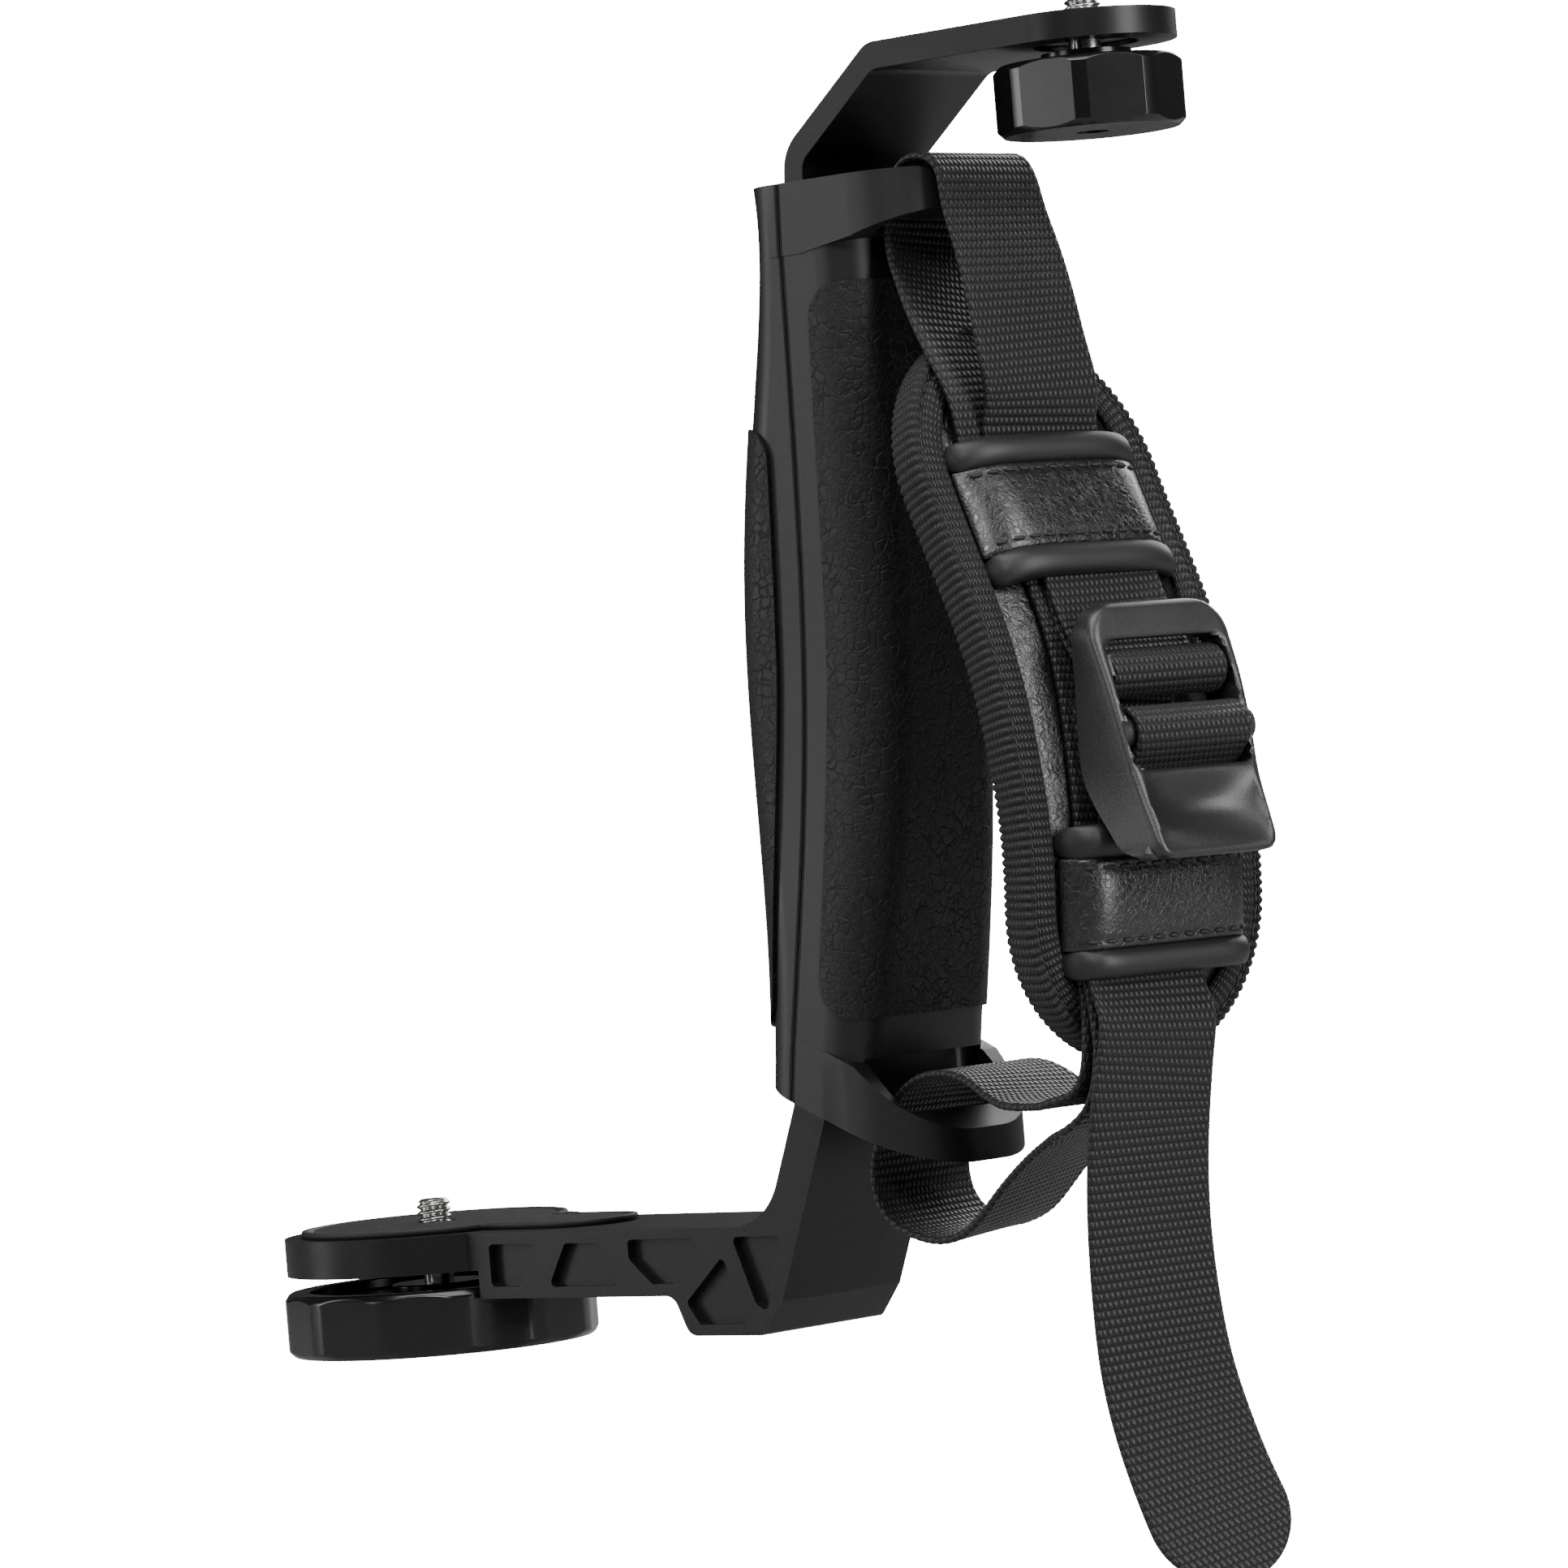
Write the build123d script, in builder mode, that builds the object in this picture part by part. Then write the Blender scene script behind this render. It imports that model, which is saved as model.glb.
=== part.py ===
# Sling grip for a camera gimbal: two cranked aluminium brackets joined inside a two-shell
# handle, a padded hand strap with an adjusting buckle, and a captive 1/4"-20 thumb screw
# at each end.  Millimetres.  The origin is on the lower thumb screw's axis, on the top of
# the rubber pad; +Z points up along both screws and +X from the lower disc to the handle.
import os
from math import cos, pi, radians, sin, tan

from build123d import *

os.makedirs("parts", exist_ok=True)

# ---- driving dimensions -------------------------------------------------------------

# thumb screws, 1/4"-20 UNC
thread_r = 3.175
shank_r = 2.85
hole_r = 3.4
thread_tip = 0.5
head_across_flats = 11.0
head_thickness = 4.0
groove_r = 2.3
clip_fit = 0.06
clip_r = 4.6
clip_pocket_r = 5.2

# lower bracket, disc and rubber pad
pad_thickness = 1.2
rubber_r = 25.1
tongue_end, tongue_half_width = 49.0, 10.0
disc_r = 28.4
disc_thickness = 7.0
plate_top = -pad_thickness
disc_bottom = plate_top - disc_thickness
bar_width = 31.6
arm_bottom = -13.4
heel_bottom = -20.6
pocket_depth = 1.6

# lower thumb screw
lower_free = 4.1
lower_knob_r = 29.2
lower_knob_top, lower_knob_bottom = -11.4, -23.4
lower_clip_z, lower_clip_thickness = -5.55, 0.8

# upper bracket
upper_x = 180.8
upper_top = 202.8
upper_thickness = 4.8
upper_recess_r, upper_recess_depth = 9.0, 0.8

# upper thumb screw
upper_free = 3.2
upper_knob_r = 16.2
upper_knob_top, upper_knob_bottom = 195.2, 183.1
boss_r, boss_height = 7.75, 1.6
upper_clip_z, upper_clip_thickness = 200.25, 0.6

# handle
grip_base_x, grip_base_z = 111.0, 21.0
grip_top_z = 180.6
grip_half_width = 19.5
grip_lean = tan(radians(5.05))
grip_bow = 2.2
grip_corner = 8.0
wall = 2.6
panel_rise = 0.8
shoulder_x, shoulder_r = 114.6, 3.5
parting_gap = 0.1

# inner frame
core_x0, core_z0 = 122.35, 118.0
lower_tang, upper_tang = 3.6, 4.4
tang_width = 20.0
spine_thickness = 3.0
frame_fit = 0.15

# hand strap
strap_twist = radians(8.0)
strap_axis_x = 165.0
webbing_width, webbing = 26.0, 1.4
cushion_half_thickness = 3.3
cushion_top, cushion_bottom = 149.0, 27.5
cushion_half_width = 24.0
binding_r = 3.4
binding_cover = 2.6
layer_gap = 0.15
keeper_skin = 1.5

# buckle
buckle_half_width = 16.3
window_half_width = 13.45
buckle_y = 1.5
buckle_shoulder = 6.5
bar1_x, bar1_z, bar1_r = 186.2, 90.5, 2.6
bar2_x, bar2_z, bar2_r = 190.8, 80.3, 3.0
loop_gap = 0.3


def parting_x(z):
    """The face between the two handle shells: a leaning line with a slight bow."""
    rise = (z - grip_base_z) / (grip_top_z - grip_base_z)
    return grip_base_x + grip_lean * (z - grip_base_z) + grip_bow * sin(pi * rise)


def core_x(z):
    """Front face of the two tangs, which the spine plate lies on."""
    return core_x0 + grip_lean * (z - core_z0)


# mid-plane of the inner frame, facing forwards, with its own Y axis up along the handle
core_tilt = radians(5.05)
core_plane = Plane(
    origin=(core_x(100), 0, 100), x_dir=(0, 1, 0), z_dir=(cos(core_tilt), 0, -sin(core_tilt))
)
frame_screw_v = (-44.0, -28.0, 26.0, 42.0)
shell_screw_v = (-57.0, 0.0, 58.0)
frame_screw_r, shell_screw_r, clear_r = 2.0, 1.5, 1.9


def finish(part, label):
    part.label = label
    export_step(part, f"parts/{label}.step")


# ---- lower bracket: disc, arm with pockets, heel, leaning upright and tang -------------
with BuildPart() as lower_bracket:
    with BuildSketch(Plane.XZ) as side:
        Polygon(
            (20, plate_top), (98.9, plate_top), (111.2, 27.7),
            (core_x(31) - lower_tang, 31), (core_x(84) - lower_tang, 84), (core_x(84), 84),
            (core_x(29.5), 29.5), (120.1, 29.5), (101.3, heel_bottom + 6.0), (96.4, heel_bottom),
            (78.2, heel_bottom), (75.0, arm_bottom), (20, arm_bottom),
            align=None,
        )
        corners = side.vertices()
        fillet(corners.sort_by_distance((98.9, plate_top))[0], 12.0)
        for x, z, radius in (
            (101.3, heel_bottom + 6.0, 1.5), (96.4, heel_bottom, 1.5), (78.2, heel_bottom, 3.0),
            (75.0, arm_bottom, 3.0),
        ):
            fillet(side.vertices().sort_by_distance((x, z))[0], radius)
    extrude(amount=bar_width / 2, both=True)
    # room for the knob under the disc, then the disc itself
    with BuildSketch(Plane.XY.offset(disc_bottom)):
        Circle(lower_knob_r + 1.4)
    extrude(amount=-12, mode=Mode.SUBTRACT)
    with BuildSketch(Plane.XY.offset(plate_top)):
        Circle(disc_r)
    extrude(amount=-disc_thickness)
    # the tang inside the handle is narrower than the arm
    with BuildSketch(Plane.XY.offset(31)):
        for across in (-1, 1):
            with Locations((115, across * (bar_width + tang_width) / 4)):
                Rectangle(30, (bar_width - tang_width) / 2)
    extrude(amount=60, mode=Mode.SUBTRACT)
    # screw hole, and the pocket under the rubber pad for the retaining clip
    with BuildSketch(Plane.XY):
        Circle(hole_r)
    extrude(amount=-20, mode=Mode.SUBTRACT)
    with BuildSketch(Plane.XY.offset(lower_clip_z - 0.05)):
        Circle(clip_pocket_r)
    extrude(amount=10, mode=Mode.SUBTRACT)
    # lightening pockets on both side faces
    for across in (-1, 1):
        with BuildSketch(Plane.XZ.offset(across * (bar_width / 2 - pocket_depth))) as pockets:
            Polygon((29.4, -3.4), (41.0, -3.4), (41.0, -7.0), (36.5, -11.2), (29.4, -11.2), align=None)
            Polygon((44.0, -11.4), (48.8, -3.5), (57.2, -3.5), (61.4, -8.0), (61.4, -11.4), align=None)
            Polygon((64.6, -3.1), (64.6, -6.6), (70.0, -11.2), (75.4, -11.2), (81.0, -5.4), (81.0, -3.1),
                    align=None)
            Polygon((87.6, -6.4), (92.8, -18.6), (81.0, -18.6), (78.0, -14.6), align=None)
            Polygon((90.2, -3.0), (102.2, -3.0), (97.4, -16.4), (94.9, -15.0), align=None)
            fillet(pockets.vertices(), 0.9)
        extrude(amount=across * 10, mode=Mode.SUBTRACT)
    # tapped holes for the frame screws, clear holes for the shell screws
    with BuildSketch(core_plane):
        with Locations([(0, v) for v in frame_screw_v]):
            Circle(frame_screw_r)
        with Locations([(0, v) for v in shell_screw_v]):
            Circle(clear_r)
    extrude(amount=12, both=True, mode=Mode.SUBTRACT)
finish(lower_bracket.part, "lower_bracket")

# ---- rubber pad: a disc with a tongue along the arm -----------------------------------
with BuildPart() as lower_rubber_pad:
    with BuildSketch(Plane.XY.offset(plate_top)):
        Circle(rubber_r)
        with Locations((tongue_end / 2, 0)):
            RectangleRounded(tongue_end, 2 * tongue_half_width, tongue_half_width - 0.1)
        Circle(hole_r, mode=Mode.SUBTRACT)
    extrude(amount=pad_thickness)
finish(lower_rubber_pad.part, "lower_rubber_pad")

# ---- upper bracket: tang, cranked bar and round-ended plate ----------------------------
with BuildPart() as upper_bracket:
    with BuildSketch(Plane.XZ) as side:
        Polygon(
            (core_x(112) - upper_tang, 112), (core_x(112), 112), (core_x(184.2), 184.2),
            (145.9, upper_top - upper_thickness), (upper_x, upper_top - upper_thickness),
            (upper_x, upper_top), (144.9, upper_top), (core_x(186.6) - upper_tang, 186.6),
            align=None,
        )
        for x, z, radius in (
            (core_x(184.2), 184.2, 3.5), (145.9, upper_top - upper_thickness, 4.0),
            (144.9, upper_top, 5.0), (core_x(186.6) - upper_tang, 186.6, 8.0),
        ):
            fillet(side.vertices().sort_by_distance((x, z))[0], radius)
    extrude(amount=bar_width / 2, both=True)
    with BuildSketch(Plane.XY.offset(112)):
        for across in (-1, 1):
            with Locations((125, across * (bar_width + tang_width) / 4)):
                Rectangle(30, (bar_width - tang_width) / 2)
    extrude(amount=58, mode=Mode.SUBTRACT)
    with BuildSketch(Plane.XY.offset(upper_top)):
        with Locations((upper_x, 0)):
            Circle(bar_width / 2)
    extrude(amount=-upper_thickness)
    with BuildSketch(Plane.XY.offset(upper_top - upper_thickness)):
        with Locations((upper_x, 0)):
            Circle(upper_recess_r)
    extrude(amount=upper_recess_depth, mode=Mode.SUBTRACT)
    with BuildSketch(Plane.XY.offset(upper_clip_z - 0.05)):
        with Locations((upper_x, 0)):
            Circle(clip_pocket_r)
    extrude(amount=6, mode=Mode.SUBTRACT)
    with BuildSketch(Plane.XY.offset(upper_top)):
        with Locations((upper_x, 0)):
            Circle(hole_r)
    extrude(amount=-10, mode=Mode.SUBTRACT)
    with BuildSketch(core_plane):
        with Locations([(0, v) for v in frame_screw_v]):
            Circle(frame_screw_r)
        with Locations([(0, v) for v in shell_screw_v]):
            Circle(clear_r)
    extrude(amount=12, both=True, mode=Mode.SUBTRACT)
finish(upper_bracket.part, "upper_bracket")

# ---- spine plate that joins the two tangs, and its four screws -------------------------
with BuildPart() as spine_plate:
    with BuildSketch(core_plane):
        with Locations((0, 2)):
            RectangleRounded(tang_width - 1, 136, 3)
        with Locations([(0, v) for v in frame_screw_v + shell_screw_v]):
            Circle(clear_r + 0.25, mode=Mode.SUBTRACT)
    extrude(amount=spine_thickness)
finish(spine_plate.part, "spine_plate")

with BuildPart() as frame_screws:
    with BuildSketch(core_plane.offset(-upper_tang + 0.2)):
        with Locations([(0, v) for v in frame_screw_v]):
            Circle(frame_screw_r)
    extrude(amount=upper_tang - 0.2 + spine_thickness)
    with BuildSketch(core_plane.offset(spine_thickness)):
        with Locations([(0, v) for v in frame_screw_v]):
            Circle(3.8)
    extrude(amount=2.2)
    with BuildSketch(core_plane.offset(spine_thickness + 2.2)):
        with Locations([(0, v) for v in frame_screw_v]):
            RegularPolygon(1.4, 6)
    extrude(amount=-1.2, mode=Mode.SUBTRACT)
finish(frame_screws.part, "frame_screws")

# ---- handle ---------------------------------------------------------------------------
# height, half width, depth behind and in front of the parting face
grip_sections = (
    (12.0, 19.5, 8.8, 15.0),
    (43.0, 18.8, 10.0, 15.6),
    (64.0, 17.6, 13.2, 17.2),
    (93.0, 16.9, 16.8, 17.6),
    (121.0, 17.5, 16.4, 16.9),
    (149.0, 18.6, 12.2, 16.0),
    (180.6, 19.5, 10.0, 15.5),
)


def grip_outline(z, half, rear, front, grow):
    """Rounded rectangle of one handle section, grown or shrunk all round."""
    with BuildSketch(Plane.XY.offset(z)) as outline:
        with Locations((parting_x(z) + (front - rear) / 2, 0)):
            RectangleRounded(front + rear + 2 * grow, 2 * (half + grow), grip_corner + grow)
    return outline.sketch


with BuildPart() as grip_skin:
    loft([grip_outline(*section, 0) for section in grip_sections])

with BuildPart() as grip_over:
    loft([grip_outline(*section, panel_rise) for section in grip_sections])

with BuildPart() as grip_under:
    loft([grip_outline(*section, -panel_rise) for section in grip_sections])

with BuildPart() as grip_hollow:
    loft([grip_outline(*section, -wall) for section in grip_sections])
    with BuildSketch(Plane.XY.offset(36)):
        Rectangle(400, 100)
    extrude(amount=-60, mode=Mode.SUBTRACT)
    with BuildSketch(Plane.XY.offset(166)):
        Rectangle(400, 100)
    extrude(amount=60, mode=Mode.SUBTRACT)
    # columns that take the shell screws
    with BuildSketch(core_plane):
        with Locations([(0, v) for v in shell_screw_v]):
            Circle(4.2)
    extrude(amount=40, both=True, mode=Mode.SUBTRACT)

# strap ring at the top: the handle's head reaches forwards over the slot
with BuildPart() as top_ring:
    with BuildSketch(Plane.XZ):
        Polygon((122, 168.0), (129, 168.0), (141, 169.8), (154.8, 173.6), (154.8, grip_top_z - 2.6),
                (154.0, grip_top_z - 0.8), (152.2, grip_top_z), (122, grip_top_z), align=None)
    extrude(amount=grip_half_width, both=True)
    with BuildSketch(Plane.XY.offset(160)) as plan:
        with Locations((136.9, 0)):
            Rectangle(35.8, 2 * grip_half_width)
        fillet(plan.vertices().group_by(Axis.X)[-1], 14.0)
    extrude(amount=30, mode=Mode.INTERSECT)

# strap ring at the bottom, its underside square to the leaning upright of the bracket
with BuildPart() as bottom_ring:
    with BuildSketch(Plane.XZ):
        Polygon((112, 31.5), (116, 31.0), (125.7, 26.5), (132.2, 19.5), (136.3, 16.0), (139.0, 14.0),
                (139.0, 8.1), (112, 20.3), align=None)
    extrude(amount=grip_half_width, both=True)
    with BuildSketch(Plane.XY) as plan:
        with Locations((125.5, 0)):
            Rectangle(27, 2 * grip_half_width)
        fillet(plan.vertices().group_by(Axis.X)[-1], 16.0)
    extrude(amount=40, mode=Mode.INTERSECT)

with BuildPart() as grip_solid:
    add(grip_skin.part)
    add(top_ring.part)
    add(bottom_ring.part)
    # underside
    with BuildSketch(Plane.XZ):
        Polygon((90, 30.2), (150, 3.2), (150, -20), (90, -20), align=None)
    extrude(amount=40, both=True, mode=Mode.SUBTRACT)
    # rounded shoulder at the top of the back
    with BuildSketch(Plane.XZ):
        with Locations((shoulder_x, grip_top_z)):
            Rectangle(2 * shoulder_r, 2 * shoulder_r)
        with Locations((shoulder_x + shoulder_r, grip_top_z - shoulder_r)):
            Circle(shoulder_r, mode=Mode.SUBTRACT)
    extrude(amount=40, both=True, mode=Mode.SUBTRACT)
    # slots for the webbing
    with BuildSketch(Plane.XY.offset(27.5)):
        with Locations((127.8, 0)):
            RectangleRounded(13.4, 31, 2.5)
    extrude(amount=-40, mode=Mode.SUBTRACT)
    with BuildSketch(Plane.XY.offset(200)):
        with Locations((145.0, 0)):
            RectangleRounded(7.0, 31, 2.5)
    extrude(amount=-36, mode=Mode.SUBTRACT)
    # eased mouth of the upper slot
    with BuildSketch(Plane.XZ):
        Polygon((147.5, 182), (150.4, 182), (149.6, 180.0), (148.2, 178.0), (147.5, 178), align=None)
    extrude(amount=15.5, both=True, mode=Mode.SUBTRACT)
    # room for the brackets and the spine plate
    with BuildSketch(Plane.XZ):
        Polygon((96.0, -8), (111.2 - frame_fit, 27.9), (core_x(31) - 3.9, 31.2), (core_x(36) + 3.3, 31.2),
                (124, 30.0), (120.3, 29.7), (104.5, -8), align=None)
    extrude(amount=bar_width / 2 + frame_fit, both=True, mode=Mode.SUBTRACT)
    with BuildSketch(Plane.XZ):
        Polygon((core_x(28) - lower_tang - frame_fit, 28), (core_x(110) - lower_tang - frame_fit, 110),
                (core_x(110) - upper_tang - frame_fit, 110), (core_x(188) - upper_tang - frame_fit, 188),
                (core_x(188) + frame_fit, 188), (core_x(171.8) + frame_fit, 171.8),
                (core_x(171.8) + spine_thickness + frame_fit, 171.8),
                (core_x(31) + spine_thickness + frame_fit, 31), (core_x(28), 28), align=None)
    extrude(amount=tang_width / 2 + frame_fit, both=True, mode=Mode.SUBTRACT)
    with BuildSketch(Plane.XZ):
        Polygon((core_x(169.8) - upper_tang - frame_fit, 169.8), (core_x(188) - upper_tang - frame_fit, 188),
                (core_x(188) + frame_fit, 188), (core_x(169.8) + frame_fit, 169.8), align=None)
    extrude(amount=bar_width / 2 + frame_fit, both=True, mode=Mode.SUBTRACT)

# everything in front of the parting face
with BuildPart() as front_side:
    with BuildSketch(Plane.XZ):
        with BuildLine():
            face = Spline([(parting_x(z), z) for z in (0, 21, 60, 101, 142, 181, 200)])
            Polyline(face @ 1, (200, 200), (200, 0), face @ 0)
        make_face()
    extrude(amount=60, both=True)


def panel_zone(edge, low, high, radius, reach):
    """Side view of a grip panel: a rounded strip from an edge line beside the parting face."""
    with BuildSketch(Plane.XZ) as zone:
        Polygon((parting_x(low) + edge, low), (parting_x(94) + edge, 94), (parting_x(high) + edge, high),
                (parting_x(high) + reach, high), (parting_x(low) + reach, low), align=None)
        for z in (low, high):
            fillet(zone.vertices().sort_by_distance((parting_x(z) + edge, z))[0], radius)
        fillet(zone.vertices().sort_by_distance((parting_x(94) + edge, 94))[0], 60)
    return zone.sketch


front_zone = panel_zone(6.0, 34.5, 162.5, 7.0, 60)
rear_zone = panel_zone(-5.8, 33.5, 139.0, 6.0, -60)

with BuildPart() as front_grip_panel:
    extrude(front_zone, amount=40, both=True)
    add(grip_over.part, mode=Mode.INTERSECT)
    add(grip_under.part, mode=Mode.SUBTRACT)
finish(front_grip_panel.part, "front_grip_panel")

with BuildPart() as rear_grip_panel:
    extrude(rear_zone, amount=40, both=True)
    add(grip_over.part, mode=Mode.INTERSECT)
    add(grip_under.part, mode=Mode.SUBTRACT)
finish(rear_grip_panel.part, "rear_grip_panel")

with BuildPart() as front_shell:
    add(grip_solid.part)
    add(front_side.part.moved(Location((parting_gap, 0, 0))), mode=Mode.INTERSECT)
    add(grip_hollow.part, mode=Mode.SUBTRACT)
    with BuildPart(mode=Mode.PRIVATE) as seat:
        extrude(front_zone, amount=40, both=True)
        add(grip_under.part, mode=Mode.SUBTRACT)
    add(seat.part, mode=Mode.SUBTRACT)
    with BuildSketch(core_plane.offset(-1)):
        with Locations([(0, v) for v in shell_screw_v]):
            Circle(shell_screw_r)
    extrude(amount=12, mode=Mode.SUBTRACT)
finish(front_shell.part, "front_shell")

with BuildPart() as rear_shell:
    add(grip_solid.part)
    add(front_side.part.moved(Location((-parting_gap, 0, 0))), mode=Mode.SUBTRACT)
    add(grip_hollow.part, mode=Mode.SUBTRACT)
    with BuildPart(mode=Mode.PRIVATE) as seat:
        extrude(rear_zone, amount=40, both=True)
        add(grip_under.part, mode=Mode.SUBTRACT)
    add(seat.part, mode=Mode.SUBTRACT)
    with BuildSketch(core_plane):
        with Locations([(0, v) for v in shell_screw_v]):
            Circle(clear_r)
    extrude(amount=-12, mode=Mode.SUBTRACT)
    with BuildSketch(core_plane.offset(-7.6)):
        with Locations([(0, v) for v in shell_screw_v]):
            Circle(3.2)
    extrude(amount=-30, mode=Mode.SUBTRACT)
finish(rear_shell.part, "rear_shell")

with BuildPart() as shell_screws:
    with BuildSketch(core_plane.offset(-7.6)):
        with Locations([(0, v) for v in shell_screw_v]):
            Circle(shell_screw_r)
    extrude(amount=18)
    with BuildSketch(core_plane.offset(-7.6)):
        with Locations([(0, v) for v in shell_screw_v]):
            Circle(2.8)
    extrude(amount=-1.8)
finish(shell_screws.part, "shell_screws")

# ---- lower thumb screw: stud with a hex head moulded into the knob, and its clip --------
with BuildPart() as lower_stud:
    with BuildSketch(Plane.XY):
        Circle(thread_r)
    extrude(amount=lower_free)
    chamfer(lower_stud.edges().group_by(Axis.Z)[-1], thread_tip)
    with BuildSketch(Plane.XY):
        Circle(shank_r)
    extrude(amount=lower_knob_bottom + 3.0)
    with BuildSketch(Plane.XY.offset(lower_knob_bottom + 3.0)):
        RegularPolygon(head_across_flats / 2, 6, major_radius=False)
    extrude(amount=head_thickness)
    with BuildSketch(Plane.XY.offset(lower_clip_z - 0.05)):
        Circle(shank_r + 1)
        Circle(groove_r, mode=Mode.SUBTRACT)
    extrude(amount=lower_clip_thickness + 0.1, mode=Mode.SUBTRACT)
finish(lower_stud.part, "lower_stud")

with BuildPart() as lower_retaining_clip:
    with BuildSketch(Plane.XY.offset(lower_clip_z)):
        Circle(clip_r)
        Circle(groove_r + clip_fit, mode=Mode.SUBTRACT)
    extrude(amount=lower_clip_thickness)
finish(lower_retaining_clip.part, "lower_retaining_clip")

with BuildPart() as lower_knob:
    with BuildSketch(Plane.XY.offset(lower_knob_bottom)):
        Circle(lower_knob_r)
    extrude(amount=lower_knob_top - lower_knob_bottom)
    chamfer(lower_knob.edges().filter_by(GeomType.CIRCLE), 1.1)
    # flats round the rim
    flat_x = lower_knob_r * cos(radians(11))
    with BuildSketch(Plane.XY.offset(lower_knob_bottom)):
        with PolarLocations(flat_x + 5, 12, start_angle=7):
            Rectangle(10, 14)
    extrude(amount=20, mode=Mode.SUBTRACT)
    # dished ring in the top face, and the core that holds the stud
    with BuildSketch(Plane.XY.offset(lower_knob_top)):
        Circle(24.5)
        Circle(9.0, mode=Mode.SUBTRACT)
    extrude(amount=-2.0, mode=Mode.SUBTRACT)
    with BuildSketch(Plane.XY.offset(lower_knob_bottom)):
        Circle(shank_r)
    extrude(amount=20, mode=Mode.SUBTRACT)
    with BuildSketch(Plane.XY.offset(lower_knob_bottom + 3.0)):
        RegularPolygon(head_across_flats / 2, 6, major_radius=False)
    extrude(amount=head_thickness, mode=Mode.SUBTRACT)
finish(lower_knob.part, "lower_knob")

# ---- upper thumb screw ------------------------------------------------------------------
upper_axis = Plane(origin=(upper_x, 0, 0))

with BuildPart() as upper_stud:
    with BuildSketch(upper_axis.offset(upper_top)):
        Circle(thread_r)
    extrude(amount=upper_free)
    chamfer(upper_stud.edges().group_by(Axis.Z)[-1], thread_tip)
    with BuildSketch(upper_axis.offset(upper_knob_bottom + 3.0)):
        Circle(shank_r)
    extrude(amount=upper_top - upper_knob_bottom - 3.0)
    with BuildSketch(upper_axis.offset(upper_knob_bottom + 3.0)):
        RegularPolygon(head_across_flats / 2, 6, major_radius=False)
    extrude(amount=head_thickness)
    with BuildSketch(upper_axis.offset(upper_clip_z - 0.05)):
        Circle(shank_r + 1)
        Circle(groove_r, mode=Mode.SUBTRACT)
    extrude(amount=upper_clip_thickness + 0.1, mode=Mode.SUBTRACT)
finish(upper_stud.part, "upper_stud")

with BuildPart() as upper_retaining_clip:
    with BuildSketch(upper_axis.offset(upper_clip_z)):
        Circle(clip_r)
        Circle(groove_r + clip_fit, mode=Mode.SUBTRACT)
    extrude(amount=upper_clip_thickness)
finish(upper_retaining_clip.part, "upper_retaining_clip")

with BuildPart() as upper_knob:
    with BuildSketch(upper_axis.offset(upper_knob_bottom)):
        Circle(upper_knob_r)
    extrude(amount=upper_knob_top - upper_knob_bottom)
    chamfer(upper_knob.edges().filter_by(GeomType.CIRCLE), 1.1)
    flat_x = upper_knob_r * cos(radians(18))
    with BuildSketch(upper_axis.offset(upper_knob_bottom)):
        with PolarLocations(flat_x + 5, 8, start_angle=12):
            Rectangle(10, 14)
    extrude(amount=20, mode=Mode.SUBTRACT)
    with BuildSketch(upper_axis.offset(upper_knob_top - 1)):
        Circle(boss_r)
    extrude(amount=boss_height + 1)
    with BuildSketch(upper_axis.offset(upper_knob_bottom)):
        Circle(shank_r)
    extrude(amount=20, mode=Mode.SUBTRACT)
    with BuildSketch(upper_axis.offset(upper_knob_bottom + 3.0)):
        RegularPolygon(head_across_flats / 2, 6, major_radius=False)
    extrude(amount=head_thickness, mode=Mode.SUBTRACT)
finish(upper_knob.part, "upper_knob")

# ---- hand strap -----------------------------------------------------------------------
# the strap stands a little turned about a vertical line, so it has its own mid-plane,
# on which x keeps the object's x at the turning line and y is the height
turn_cos, turn_sin = cos(strap_twist), sin(strap_twist)
strap_plane = Plane(
    origin=(strap_axis_x * (1 - turn_cos), strap_axis_x * turn_sin, 0),
    x_dir=(turn_cos, -turn_sin, 0),
    z_dir=(-turn_sin, -turn_cos, 0),
)
strap_face = Plane(
    origin=strap_plane.from_local_coords((0, 0, 0)), x_dir=(turn_sin, turn_cos, 0),
    z_dir=(turn_cos, -turn_sin, 0),
)

# middle of the cushion's thickness, seen from the side
cushion_line = Spline(
    (147.5, 158), (155.0, 138.8), (160.2, 124.8), (167.3, 108.8), (173.5, 92.8), (177.0, 76),
    (178.2, 62), (177.3, 46), (176.4, 24), (176.2, 16),
)


def beside_cushion(z, off):
    """Side-view point that stands off the cushion's middle line, abreast of height z."""
    low, high = 0.0, 1.0
    for _ in range(40):
        middle = (low + high) / 2
        if (cushion_line @ middle).Y > z:
            low = middle
        else:
            high = middle
    point, along = cushion_line @ low, cushion_line % low
    return (point.X - along.Y * off, point.Y + along.X * off)


def layer(high, low, inner, outer):
    """Side view of one layer that follows the cushion between two heights."""
    steps = max(3, round((high - low) / 9) + 1)
    heights = [high + (low - high) * i / (steps - 1) for i in range(steps)]
    with BuildSketch(strap_plane) as face:
        with BuildLine():
            near = Spline([beside_cushion(z, inner) for z in heights])
            far = Spline([beside_cushion(z, outer) for z in heights])
            Line(near @ 0, far @ 0)
            Line(near @ 1, far @ 1)
        make_face()
    return face.sketch


# distances of the webbing layers from the cushion's middle line
layer1 = cushion_half_thickness + layer_gap
layer2 = layer1 + webbing + layer_gap
layer3 = layer2 + webbing + layer_gap
middle1, middle2, middle3 = (start + webbing / 2 for start in (layer1, layer2, layer3))

cushion_middle_z = (cushion_top + cushion_bottom) / 2
cushion_length = cushion_top - cushion_bottom


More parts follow.
